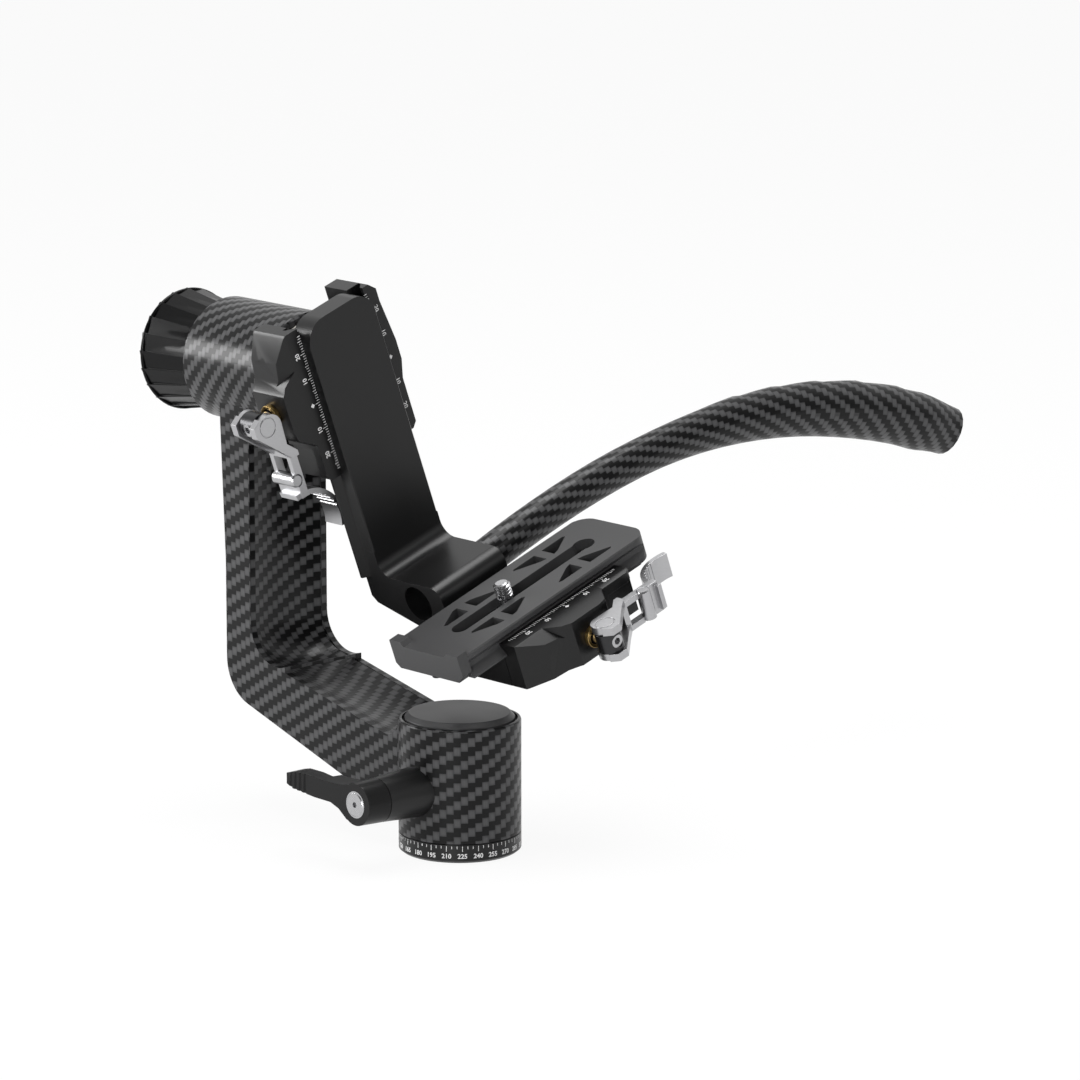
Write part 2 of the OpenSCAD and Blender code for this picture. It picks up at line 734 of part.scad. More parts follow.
// A compression spring round each guide pin, drawn as a ribbed sleeve
module jaw_spring() {
    turns = 5;
    pitch = spring_len / turns;
    rotate([0, 90, 0]) rotate_extrude($fn = 36) polygon(concat(
        [[spring_r - 0.9, 0]],
        [for (i = [0 : turns - 1]) each [[spring_r - 0.35, i * pitch], [spring_r, (i + 0.5) * pitch]]],
        [[spring_r - 0.35, spring_len], [spring_r - 0.9, spring_len]]
    ));
}

module jaw_springs() {
    for (s = [-1, 1]) translate([spring_from, s * pin_v, pin_w]) jaw_spring();
}

module guide_pins(extra) {
    for (s = [-1, 1]) translate([0, s * pin_v, pin_w]) along_x(guide_pin_r, split_u - 16, split_u + 4 + extra);
}

// The tension stud ends inside the barrel nut, where its socket shows
module clamp_stud(extra) {
    end_u = pivot_u + extra + barrel_nut_r - 0.6;
    translate([0, stud_v, stud_w]) difference() {
        along_x(stud_r, split_u - 16, end_u);
        translate([end_u - 2, 0, 0]) rotate([0, 90, 0]) cylinder(r = 1.4, h = 4, $fn = 6);
    }
}

// The cross barrel that the lever's cheeks turn on, with its two pins
module cam_barrel(extra) {
    inner_w = lever_w - 2 * cheek_t - 0.3;
    translate([pivot_u + extra, stud_v, stud_w]) difference() {
        union() {
            cylinder(r = barrel_nut_r, h = inner_w, center = true);
            cylinder(r = pivot_pin_r, h = lever_w - 2 * pin_skin - 0.4, center = true);
        }
        rotate([0, 90, 0]) cylinder(r = stud_r, h = 30, center = true);
    }
}

module saddle(extra) {
    translate([boss_u + extra, stud_v, stud_w]) rotate([0, 90, 0]) difference() {
        cylinder(r = saddle_r, h = saddle_t);
        translate([0, 0, -1]) cylinder(r = stud_r + 0.6, h = saddle_t + 2);
    }
}

// Side view of one cheek: a round cam at the pivot that runs into the arm
module cheek_plan() {
    cx = pivot_u - cam_throw * cos(cam_angle);
    cy = stud_v + cam_throw * sin(cam_angle);
    union() {
        translate([cx, cy]) circle(r = cam_r);
        polygon([
            [cx - cam_r, cy], [cx - cam_r + 0.5, 8.8], [arm_u, 13], [arm_u, 15], [arm_u + arm_t, 15],
            [arm_u + arm_t + 4.4, 9.8], [pivot_u + 5.9, 1], [pivot_u + 5.9, -3.2], [pivot_u + 2.4, -5.2], [cx, cy]
        ]);
    }
}

// Side view of the arm's end and the thumb tab that curls behind the jaw
module tab_plan() {
    r = 14;
    t = 2.2;
    c = [arm_u + 2.5, arm_end_v + 14.4];
    intersection() {
        translate(c) difference() {
            circle(r = r + t);
            circle(r = r);
        }
        translate(c) polygon([[0, 0], [3, -20], [-22, -20], [-22, 6], [-10, 4]]);
    }
}

module lever_arm_window() {
    translate([0, (15.6 + latch_v) / 2 - 0.4, 0])
        cube([20, latch_v - 15.6 - 0.8, lever_w - 6], center = true);
}

module lever(extra) {
    z0 = -lever_w / 2;
    translate([extra, 0, stud_w]) {
        difference() {
            union() {
                for (s = [0, 1]) translate([0, 0, z0 + s * (lever_w - cheek_t)])
                    linear_extrude(height = cheek_t) cheek_plan();
                translate([arm_u, 13, z0]) cube([arm_t, arm_end_v - 13, lever_w - 1.6]);
                translate([0, 0, z0 + 1]) linear_extrude(height = lever_w - 4) tab_plan();
            }
            translate([arm_u, 0, -0.8]) lever_arm_window();
            translate([arm_u + arm_t, latch_v, -0.8]) cylinder(r = latch_r + run_gap, h = lever_w + 4, center = true);
            // seat of the barrel's pins, and the ring round each pin head
            translate([pivot_u, stud_v, 0]) cylinder(r = pivot_pin_r + run_gap, h = lever_w - 2 * pin_skin, center = true);
            for (m = [0, 1]) mirror([0, 0, m]) translate([pivot_u, stud_v, lever_w / 2 - 0.3]) ring(3.75, 3.4, 1);
            // grip grooves on the tab
            for (a = [198 : 9 : 252]) translate([arm_u + 2.5 + 14 * cos(a), arm_end_v + 14.4 + 14 * sin(a), 0])
                cylinder(r = 0.6, h = lever_w + 2, center = true, $fn = 16);
        }
    }
}

// The round push button in the lever's arm
module latch(extra) {
    translate([arm_u + arm_t + extra, latch_v, stud_w - 0.8]) difference() {
        union() {
            cylinder(r = latch_r, h = lever_w - 2.6, center = true);
            translate([0, 0, lever_w / 2 - 1.3 - eps]) cylinder(r1 = latch_r, r2 = latch_r - 0.5, h = 0.6);
        }
    }
}

module tilt_clamp_body() {
    color("#151516") tilt_clamp_frame() difference() {
        clamp_body(false);
        // screw seats
        for (a = [45 : 90 : 315]) rotate(a) translate([14, 0, 0]) {
            translate([0, 0, -clamp_depth - 1]) cylinder(r = 1.7, h = clamp_depth);
            translate([0, 0, deck_w - 3.4]) cylinder(r = 3.6, h = 4);
        }
    }
}
module tilt_guide_pins() { color("#c4c6c9") tilt_clamp_frame() guide_pins(0); }
module tilt_jaw_springs() { color("#b8babd") tilt_clamp_frame() jaw_springs(); }
module tilt_clamp_stud() { color("#c4c6c9") tilt_clamp_frame() clamp_stud(0); }
module tilt_cam_barrel() { color("#4b4d50") tilt_clamp_frame() cam_barrel(0); }
module tilt_clamp_jaw() { color("#151516") tilt_clamp_frame() clamp_jaw(0, false); }
module tilt_saddle() { color("#b5893a") tilt_clamp_frame() saddle(0); }
module tilt_lever() { color("#dcdddf") tilt_clamp_frame() lever(0); }
module tilt_latch() { color("#e4e5e6") tilt_clamp_frame() latch(0); }

// ---------------------------------------------------------------- cradle

// Cross-section of the leg seen from above: dovetail at the back, waist, plain front
module leg_section() {
    polygon([
        [-leg_back, -dove_hw], [-leg_back, dove_hw], [-leg_x - 3.95, dove_hw], [-leg_x - 1.4, waist_hw],
        [-leg_front - 0.4, waist_hw], [-leg_front, waist_hw - 0.4],
        [-leg_front, -waist_hw + 0.4], [-leg_front - 0.4, -waist_hw], [-leg_x - 1.4, -waist_hw], [-leg_x - 3.95, -dove_hw]
    ]);
}

// Face view of the leg with its rounded top corners
module leg_face() {
    top = leg_top - leg_corner_r;
    union() {
        translate([-dove_hw - 1, -foot_drop - 2]) square([2 * dove_hw + 2, top + foot_drop + 2]);
        translate([-waist_hw + leg_corner_r, top - 1]) square([2 * (waist_hw - leg_corner_r), leg_corner_r + 1]);
        for (s = [-1, 1]) translate([s * (waist_hw - leg_corner_r), top]) circle(r = leg_corner_r + (dove_hw - waist_hw) * 0);
    }
}

// Side view of the bend and the foot, x across and z up
module foot_side() {
    back = -leg_back;
    top = -foot_drop;
    nose_top = [foot_nose_x - foot_nose_r, top - foot_nose_r];
    difference() {
        union() {
            polygon([
                [back, top + 10], [back, -82], [back + 2.4, -84.6], [-41.2, -90.6], [foot_nose_x, -96.8],
                [foot_nose_x, nose_top[1]], nose_top, [nose_top[0], top], [-leg_front, top], [-leg_front, top + 10]
            ]);
            translate(nose_top) circle(r = foot_nose_r);
            translate([-leg_front - 1, top - 1]) square([foot_bend_r + 1, foot_bend_r + 1]);
        }
        translate([-leg_front + foot_bend_r, top + foot_bend_r]) circle(r = foot_bend_r);
        translate([socket_x, socket_z]) circle(r = socket_r);
    }
}

module cradle() {
    color("#19191a") cradle_frame() difference() {
        union() {
            intersection() {
                translate([0, 0, -foot_drop - 1]) linear_extrude(height = leg_top + foot_drop + 1) leg_section();
                rotate([90, 0, 90]) translate([0, 0, -leg_back - 1]) linear_extrude(height = dove_t + leg_proud + 2) leg_face();
            }
            translate([0, foot_w / 2, 0]) rotate([90, 0, 0]) linear_extrude(height = foot_w) foot_side();
        }
        // set screw and clamp screw holes
        translate([socket_x, 0, socket_z]) rotate([180, 0, 0]) cylinder(r = 2, h = 20);
        for (v = [-11.5, 11.5]) translate([0, clamp_shift + v, -plate_clamp_drop - 13]) along_x(2.5, foot_nose_x - 12, foot_nose_x + 1);
    }
}

module handle_set_screw() {
    color("#c4c6c9") cradle_frame() translate([socket_x, 0, socket_z - socket_r - 0.3]) rotate([180, 0, 0]) difference() {
        cylinder(r = 2, h = 4);
        translate([0, 0, 2]) cylinder(r = 1.1, h = 3, $fn = 6);
    }
}

module plate_clamp_body() {
    color("#151516") plate_clamp_frame() difference() {
        clamp_body(true);
        for (v = [-11.5, 11.5]) translate([0, v, -13]) {
            along_x(2.5, -fixed_u - 3, 6);
            along_x(4.5, 4, split_u + 1);
        }
    }
}

module plate_clamp_screws() {
    color("#2c2c2d") plate_clamp_frame() for (v = [-11.5, 11.5]) translate([4, v, -13]) rotate([0, 90, 0])
        cap_screw(2.5, fixed_u + 4 + 10, 4.2, 5, 2);
}

module plate_guide_pins() { color("#c4c6c9") plate_clamp_frame() guide_pins(plate_jaw_extra); }
module plate_jaw_springs() { color("#b8babd") plate_clamp_frame() jaw_springs(); }
module plate_clamp_stud() { color("#c4c6c9") plate_clamp_frame() clamp_stud(plate_jaw_extra); }
module plate_cam_barrel() { color("#4b4d50") plate_clamp_frame() cam_barrel(plate_jaw_extra); }
module plate_clamp_jaw() { color("#151516") plate_clamp_frame() clamp_jaw(plate_jaw_extra, true); }
module plate_saddle() { color("#b5893a") plate_clamp_frame() saddle(plate_jaw_extra); }
module plate_lever() { color("#dcdddf") plate_clamp_frame() lever(plate_jaw_extra); }
module plate_latch() { color("#e4e5e6") plate_clamp_frame() latch(plate_jaw_extra); }

// ---------------------------------------------------------------- lens plate

// Cross-section of the plate, x across and z up
module plate_section() {
    top = -plate_drop;
    w0 = -plate_clamp_drop;
    half = [
        [0, top], [plate_hw - 0.5, top], [plate_hw, top - 0.5], [plate_hw, top - 2.2],
        [waist_hw, top - 2.2 - (plate_hw - waist_hw)], [waist_hw, w0 - 1.4], [dove_hw, w0 - 3.95],
        [dove_hw, plate_bottom], [0, plate_bottom]
    ];
    for (m = [0, 1]) mirror([m, 0]) polygon(half);
}

// Plan of the plate with rounded far corners
module plate_plan() {
    r = plate_corner_r;
    w = dove_hw + 0.5;
    union() {
        translate([-w, plate_near - flange_t]) square([2 * w, plate_far - r - plate_near + flange_t]);
        translate([-plate_hw + r, plate_far - r - 1]) square([2 * (plate_hw - r), r + 1]);
        for (s = [-1, 1]) translate([s * (plate_hw - r), plate_far - r]) circle(r = r);
    }
}

// One quarter of a group of cut-outs; tip says whether the point is at the slot or at the edge
module cutout(tip_at_slot) {
    a = 6.6;
    b = 13.2;
    near = 2;
    long = 13.8;
    if (tip_at_slot) polygon([[a, near], [b, near], [b - 0.3, near + 2.4], [a + 1, long], [a, long - 1]]);
    else polygon([[a - 0.4, near], [b, near], [b, long - 1], [b - 0.8, long], [a + 0.4, near + 2.6]]);
}

module cutout_group(tip_at_slot) {
    for (mx = [0, 1], my = [0, 1]) mirror([mx, 0]) mirror([0, my]) cutout(tip_at_slot);
}

module lens_plate() {
    group = 20.2;
    color("#3b3b3d") cradle_frame() difference() {
        union() {
            intersection() {
                translate([0, plate_far + 1, 0]) rotate([90, 0, 0])
                    linear_extrude(height = plate_len + 1) plate_section();
                translate([0, 0, plate_bottom - 1]) linear_extrude(height = 20) plate_plan();
            }
            // end flange with two upstanding tabs
            translate([0, plate_near, 0]) rotate([90, 0, 0]) linear_extrude(height = flange_t) polygon([
                [-plate_hw, -plate_drop + tab_rise], [-12.6, -plate_drop + tab_rise], [-11, -plate_drop],
                [11, -plate_drop], [12.6, -plate_drop + tab_rise], [plate_hw, -plate_drop + tab_rise],
                [plate_hw, plate_bottom + 3], [plate_hw - 3, plate_bottom], [-plate_hw + 2, plate_bottom], [-plate_hw, plate_bottom + 2]
            ]);
        }
        // camera screw slot with its keyhole, and the wider track for the screw's head
        translate([0, 0, -plate_drop - 20]) linear_extrude(height = 30) {
            translate([-slot_w / 2, slot_near]) square([slot_w, slot_far - slot_near]);
            translate([0, slot_near]) circle(r = slot_w / 2);
            translate([0, slot_far]) circle(r = keyhole_r);
        }
        translate([-head_track_w / 2, slot_near - 3, plate_bottom - 1]) cube([head_track_w, slot_far - slot_near + 6, head_track_h + 1]);
        // two groups of triangular cut-outs
        translate([0, 0, -plate_drop - 20]) linear_extrude(height = 30) {
            translate([0, plate_shift - group - 0.8]) cutout_group(true);
            translate([0, plate_shift + group - 0.8]) cutout_group(false);
        }
        // stop screw hole
        translate([0, plate_near - 0.6, plate_bottom - 1]) cylinder(r = 1.5, h = 6);
    }
}

module plate_stop_screw() {
    color("#2c2c2d") cradle_frame() translate([0, plate_near - 0.6, plate_bottom]) rotate([180, 0, 0])
        cap_screw(1.5, 4, 2.9, 1.6, 1.1);
}

// The slider that carries the camera screw along the slot
module screw_slider() {
    color("#8d9094") cradle_frame() translate([0, screw_y, -plate_drop - (plate_clamp_drop + dove_t - plate_drop - head_track_h) - 1.4])
        difference() {
            translate([-head_track_w / 2 + slide_gap, -7, 0]) cube([head_track_w - 2 * slide_gap, 14, 1.2]);
            translate([0, 0, -1]) cylinder(r = screw_neck_r + run_gap, h = 4);
        }
}

module camera_screw() {
    head_top = -plate_drop - (plate_clamp_drop + dove_t - plate_drop - head_track_h) - 1.6;
    top = -plate_drop + camera_screw_len;
    thread_from = -plate_drop + screw_neck_rise;
    r = camera_screw_d / 2;
    color("#d9dadc") cradle_frame() translate([0, screw_y, 0]) difference() {
        union() {
            translate([0, 0, head_top - 3.4]) cylinder(r = 5.6, h = 3.4);
            translate([0, 0, head_top - eps]) cylinder(r = screw_neck_r, h = thread_from - head_top + 2 * eps);
            translate([0, 0, thread_from]) cylinder(r = r, h = top - 0.6 - thread_from);
            translate([0, 0, top - 0.6 - eps]) cylinder(r1 = r, r2 = r - 0.6, h = 0.6);
        }
        translate([0, 0, head_top - 4.4]) cylinder(r = 2.2, h = 3, $fn = 6);
    }
}

// ---------------------------------------------------------------- handle

function bezier(t) = pow(1 - t, 3) * handle_p0 + 3 * pow(1 - t, 2) * t * handle_p1
    + 3 * (1 - t) * t * t * handle_p2 + t * t * t * handle_p3;
function bezier_dir(t) = 3 * pow(1 - t, 2) * (handle_p1 - handle_p0) + 6 * (1 - t) * t * (handle_p2 - handle_p1)
    + 3 * t * t * (handle_p3 - handle_p2);
function smooth(a, b, t) = let(s = max(0, min(1, (t - a) / (b - a)))) s * s * (3 - 2 * s);
// Half thickness of the grip along its length
function grip_r(t) = handle_neck / 2 + (handle_palm - handle_neck) / 2 * smooth(0.35, 0.86, t) - 2.4 * smooth(0.93, 1, t);
// Height of the finger steps on the upper side
function step_r(t) = let(k = (t - 0.5) / 0.4 * scallops) (k > 0 && k < scallops) ? 0.7 * (k - floor(k)) : 0;
// Outline of the grip's cross-section: rounded, a little narrower than it is tall
function grip_point(t, a) = let(r = grip_r(t), c = cos(a), s = sin(a))
    [r * 0.88 * c, r * s + (s > 0.3 ? step_r(t) : 0)];
function handle_ring(t) = let(
    p = bezier(t), d = bezier_dir(t), e = d / norm(d), f = [e[0], e[1] * smooth(0, 0.08, t)], n = f / norm(f),
    slant = 4 * smooth(0.9, 1, t)
) [for (j = [0 : handle_sides - 1]) let(q = grip_point(t, j * 360 / handle_sides))
    [socket_x + q[0], p[0] - n[1] * q[1] + slant * q[1] / 22, p[1] + n[0] * q[1]]];

module handle() {
    points = [for (i = [0 : handle_rings]) each handle_ring(i / handle_rings)];
    n = handle_sides;
    sides = [for (i = [0 : handle_rings - 1], j = [0 : n - 1])
        [i * n + j, i * n + (j + 1) % n, (i + 1) * n + (j + 1) % n, (i + 1) * n + j]];
    near_end = [for (j = [n - 1 : -1 : 0]) j];
    far_end = [for (j = [0 : n - 1]) handle_rings * n + j];
    color("#3a3a3c") cradle_frame() polyhedron(points, concat(sides, [near_end, far_end]), convexity = 4);
}

module handle_ferrule() {
    color("#b8babd") cradle_frame() translate([socket_x, 0, socket_z]) difference() {
        along_y(socket_r - run_gap, -2, handle_start);
        along_y(4.5, -3, 6);
    }
}

scale_ring();
spindle();
tripod_insert();
base_screws();
spindle_nut();
arm();
pan_bearings();
pan_cap();
cap_ring();
pan_lock_boss();
tilt_bearings();
pan_brake_shoe();
pan_lock_lever();
pan_lock_screw();
pan_lock_stud();
tilt_knob();
knob_insert();
knob_cap();
knob_screw();
tilt_shaft();
friction_washer();
tilt_clamp_body();
tilt_clamp_screws();
tilt_guide_pins();
tilt_jaw_springs();
tilt_clamp_stud();
tilt_cam_barrel();
tilt_clamp_jaw();
tilt_saddle();
tilt_lever();
tilt_latch();
cradle();
handle_set_screw();
plate_clamp_body();
plate_clamp_screws();
plate_guide_pins();
plate_jaw_springs();
plate_clamp_stud();
plate_cam_barrel();
plate_clamp_jaw();
plate_saddle();
plate_lever();
plate_latch();
lens_plate();
plate_stop_screw();
screw_slider();
camera_screw();
handle();
handle_ferrule();
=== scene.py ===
import json
import math

import bpy
from mathutils import Matrix, Vector

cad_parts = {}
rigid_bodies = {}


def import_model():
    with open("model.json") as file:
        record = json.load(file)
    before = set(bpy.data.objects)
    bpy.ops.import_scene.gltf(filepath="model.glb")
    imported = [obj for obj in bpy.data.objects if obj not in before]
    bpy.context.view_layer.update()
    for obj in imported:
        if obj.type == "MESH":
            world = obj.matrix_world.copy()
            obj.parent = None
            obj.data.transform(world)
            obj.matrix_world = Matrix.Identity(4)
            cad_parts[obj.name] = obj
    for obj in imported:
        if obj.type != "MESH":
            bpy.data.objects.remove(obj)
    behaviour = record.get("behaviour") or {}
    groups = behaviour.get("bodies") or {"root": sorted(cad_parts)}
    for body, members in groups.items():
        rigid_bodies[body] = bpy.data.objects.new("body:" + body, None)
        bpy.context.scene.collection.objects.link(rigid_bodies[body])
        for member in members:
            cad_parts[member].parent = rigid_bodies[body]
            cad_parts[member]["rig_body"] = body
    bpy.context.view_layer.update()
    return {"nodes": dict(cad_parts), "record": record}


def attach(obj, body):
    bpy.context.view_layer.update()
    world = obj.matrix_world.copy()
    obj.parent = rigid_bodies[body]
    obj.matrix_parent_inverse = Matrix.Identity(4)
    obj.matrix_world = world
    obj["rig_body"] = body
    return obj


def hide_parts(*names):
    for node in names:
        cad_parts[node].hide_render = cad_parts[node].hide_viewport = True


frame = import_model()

bl_info = {
    "name": "Gimbal tripod head",
    "version": (1, 0, 0),
    "blender": (4, 5, 0),
    "location": "View3D > Sidebar > Gimbal head",
    "description": "Dresses the packed gimbal tripod head with its finished pieces and materials",
    "category": "Object",
}

MM = 0.001

# The picture's camera: its direction, its distance and what its middle looks at, in millimetres
AZIMUTH = math.radians(47.9)
ELEVATION = math.radians(11.85)
CAMERA_FAR = 1977.7
AIM_HEIGHT = 100.0
AIM_RIGHT = 29.03
AIM_UP = 13.99
SENSOR = 36.0
FOCAL_SHARE = 5500.0 / 1080.0   # focal length as a share of the picture's width

# The head's own sizes, as in the part's source, in millimetres
CRADLE_TILT = math.radians(20.3)
TILT_Z = 164.3
LEG_X = 59.0
CLAMP_SHIFT = 4.3
CLAMP_DROP = 82.2
PLATE_DROP = 77.4
PIN_V = 20.0
PIN_W = -11.5
GUIDE_PIN_R = 2.0
STUD_V = -1.0
STUD_W = -9.4
BASE_R = 22.3
HOUSING_H = 49.0
BARREL_R = 22.8
BARREL_IN = 82.0
ARM_INNER = 96.5
STRUT_HALF = 8.0
TOP_ANGLE = math.radians(12.35)
INNER_ROUND = 15.0
CORNER_TOP_Z = 58.97
SOCKET_X = -37.0
SCREW_Y = -5.0
SCREW_STANDS = 6.2
SCREW_R = 3.175
SCREW_PITCH = 25.4 / 20
# the handle's centre line in the cradle's frame, as four Bezier points (y, z)
HANDLE_CURVE = ((16.8, -80.5), (90.0, -75.0), (175.0, -80.0), (255.0, -150.0))

# Sizes that only the finished pieces have, in millimetres
SADDLE_R = 4.3
NOTCH_SIZE = (31.0, 12.0, 16.0)     # tilt clamp's deck, between the jaws' upper ends
NOTCH_MIDDLE = (2.4, -27.0, -12.0)
KNOB_RING_X = -154.3
KNOB_RING_R = 22.35
KNOB_RING_THICK = 0.75
THREAD_FROM = 0.3
THREAD_TURNS = 4
THREAD_DEEP = 0.62

# The weave: width of a tow, its height where it turns under, and its width on the barrel
TOW_WIDE = 2.62
TOW_TALL = 1.66
BARREL_TOW = 1.95
HANDLE_GIRTH_R = 9.5

# The engraved scales, in millimetres and degrees
MARK_THICK = 0.04
MARK_LIFT = 0.01
PAN_FACING_X = 264                  # degree mark that faces +X
PAN_MARK_WIDE = 0.22
PAN_NUMBER_Z = 2.7
MARKS_FROM = 16.3
PLATE_EXTRA = 2.0                   # the plate clamp's moving jaw stands this much farther out
CLAMP_MARKS = 27                    # millimetre marks on either side of the middle
CLAMP_MARK_WIDE = 0.24
CLAMP_NUMBER_TALL = 2.6
CLAMP_NUMBERS_FROM = 3.6
CLAMP_DOT = 1.3

# The stage: how white the floor glows, and the room's light before and behind the object
FLOOR_GLOW = 0.92
ROOM_FRONT = 0.06
ROOM_BEHIND = 0.8


# ---------------------------------------------------------------- places

def cradle_frame():
    """Cradle's own axes in the part's frame, in millimetres."""
    return Matrix.Translation((0, 0, TILT_Z)) @ Matrix.Rotation(CRADLE_TILT, 4, "X")


def tilt_clamp_frame():
    """Tilt clamp: u opens the jaw, v runs along it, w points at the held leg."""
    turn = Matrix(((0, 0, 1, 0), (-1, 0, 0, 0), (0, -1, 0, 0), (0, 0, 0, 1)))
    return cradle_frame() @ Matrix.Translation((-LEG_X, 0, 0)) @ turn


def plate_clamp_frame():
    """Plate clamp: u opens the jaw, v runs along it, w points at the held plate."""
    return cradle_frame() @ Matrix.Translation((0, CLAMP_SHIFT, -CLAMP_DROP))


def to_metres(matrix):
    """The same place, for a mesh that is already in metres."""
    placed = matrix.copy()
    placed.translation = matrix.translation * MM
    return placed


def moved(x, y, z):
    """A shift given in millimetres, for a mesh in metres."""
    return Matrix.Translation((x * MM, y * MM, z * MM))


# ---------------------------------------------------------------- mesh helpers

def only(obj):
    """Deselects everything, then selects and activates one object."""
    if bpy.context.mode != "OBJECT":
        bpy.ops.object.mode_set(mode="OBJECT")
    bpy.ops.object.select_all(action="DESELECT")
    obj.select_set(True)
    bpy.context.view_layer.objects.active = obj


def finish_piece(obj, body, slot, material, *nodes):
    """Gives a finished piece its material and its body, and hides the nodes that it stands for; the
    slot argument is not used.
    """
    obj.data.materials.clear()
    obj.data.materials.append(material)
    for poly in obj.data.polygons:
        poly.material_index = 0
    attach(obj, body)
    if nodes:
        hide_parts(*nodes)


def node_slots():
    """Material slot of each node, as the record names it."""
    return {row["node"]: row["material_slot"] for row in frame["record"]["subparts"]}


def new_primitive(add, **values):
    """Adds one primitive with nothing else selected and returns it."""
    bpy.ops.object.select_all(action="DESELECT")
    add(**values)
    return bpy.context.object


def copy_of(node, name):
    """A merged copy of a node's mesh, ready to be shaped."""
    source = frame["nodes"][node]
    obj = bpy.data.objects.new(name, source.data.copy())
    bpy.context.scene.collection.objects.link(obj)
    only(obj)
    bpy.ops.object.mode_set(mode="EDIT")
    bpy.ops.mesh.select_all(action="SELECT")
    bpy.ops.mesh.remove_doubles(threshold=2e-6)
    bpy.ops.mesh.dissolve_limited(angle_limit=math.radians(0.4))
    bpy.ops.object.mode_set(mode="OBJECT")
    return obj


def soften_edges(obj, width, angle=35, segments=2):
    """Rounds a piece's sharp edges with a bevel and keeps its flat faces flat in the light."""
    only(obj)
    bevel = obj.modifiers.new("edges", "BEVEL")
    bevel.width = width * MM
    bevel.segments = segments
    bevel.limit_method = "ANGLE"
    bevel.angle_limit = math.radians(angle)
    bpy.ops.object.modifier_apply(modifier="edges")
    even_normals(obj)


def even_normals(obj, angle=35):
    """Shades a piece smooth, with large faces ruling the normals of the small ones beside them."""
    only(obj)
    bpy.ops.object.shade_smooth_by_angle(angle=math.radians(angle))
    weigh = obj.modifiers.new("normals", "WEIGHTED_NORMAL")
    weigh.mode = "FACE_AREA"
    weigh.weight = 50
    weigh.keep_sharp = True
    bpy.ops.object.modifier_apply(modifier="normals")


def join_all(parts, name):
    """Joins finished meshes into one named object."""
    only(parts[0])
    for part in parts:
        part.select_set(True)
    if len(parts) > 1:
        bpy.ops.object.join()
    joined = bpy.context.view_layer.objects.active
    joined.name = name
    return joined


def place_mesh(obj, matrix):
    """Puts a piece's place into its mesh and leaves the object at the origin."""
    obj.data.transform(matrix @ obj.matrix_basis)
    obj.matrix_basis = Matrix.Identity(4)


# ---------------------------------------------------------------- shader helpers

def shader_group(name, inputs, outputs):
    """An empty node group with named sockets."""
    tree = bpy.data.node_groups.new(name, "ShaderNodeTree")
    for label, kind, value in inputs:
        item = tree.interface.new_socket(name=label, in_out="INPUT", socket_type=kind)
        if value is not None:
            item.default_value = value
    for label, kind in outputs:
        tree.interface.new_socket(name=label, in_out="OUTPUT", socket_type=kind)
    return tree, tree.nodes.new("NodeGroupInput"), tree.nodes.new("NodeGroupOutput")


def feed(tree, socket, value):
    """Links an output to a socket, or sets a number or a colour there."""
    if isinstance(value, (int, float, tuple)):
        socket.default_value = value
    else:
        tree.links.new(value, socket)


def math_node(tree, operation, a, b=None, clamp=False):
    """A Math node fed by sockets or numbers; returns its output."""
    node = tree.nodes.new("ShaderNodeMath")
    node.operation = operation
    node.use_clamp = clamp
    feed(tree, node.inputs[0], a)
    if b is not None:
        feed(tree, node.inputs[1], b)
    return node.outputs[0]


def mix_number(tree, factor, a, b):
    """a where factor is 0 and b where it is 1."""
    node = tree.nodes.new("ShaderNodeMix")
    node.data_type = "FLOAT"
    for index, value in ((0, factor), (2, a), (3, b)):
        feed(tree, node.inputs[index], value)
    return node.outputs[0]


def mix_colour(tree, factor, a, b, blend="MIX"):
    """Two colours mixed by a factor."""
    node = tree.nodes.new("ShaderNodeMix")
    node.data_type = "RGBA"
    node.blend_type = blend
    for index, value in ((0, factor), (6, a), (7, b)):
        feed(tree, node.inputs[index], value)
    return node.outputs[2]


def grey(tree, value):
    """A colour whose three channels carry one value."""
    node = tree.nodes.new("ShaderNodeCombineColor")
    for socket in node.inputs[:3]:
        tree.links.new(value, socket)
    return node.outputs[0]


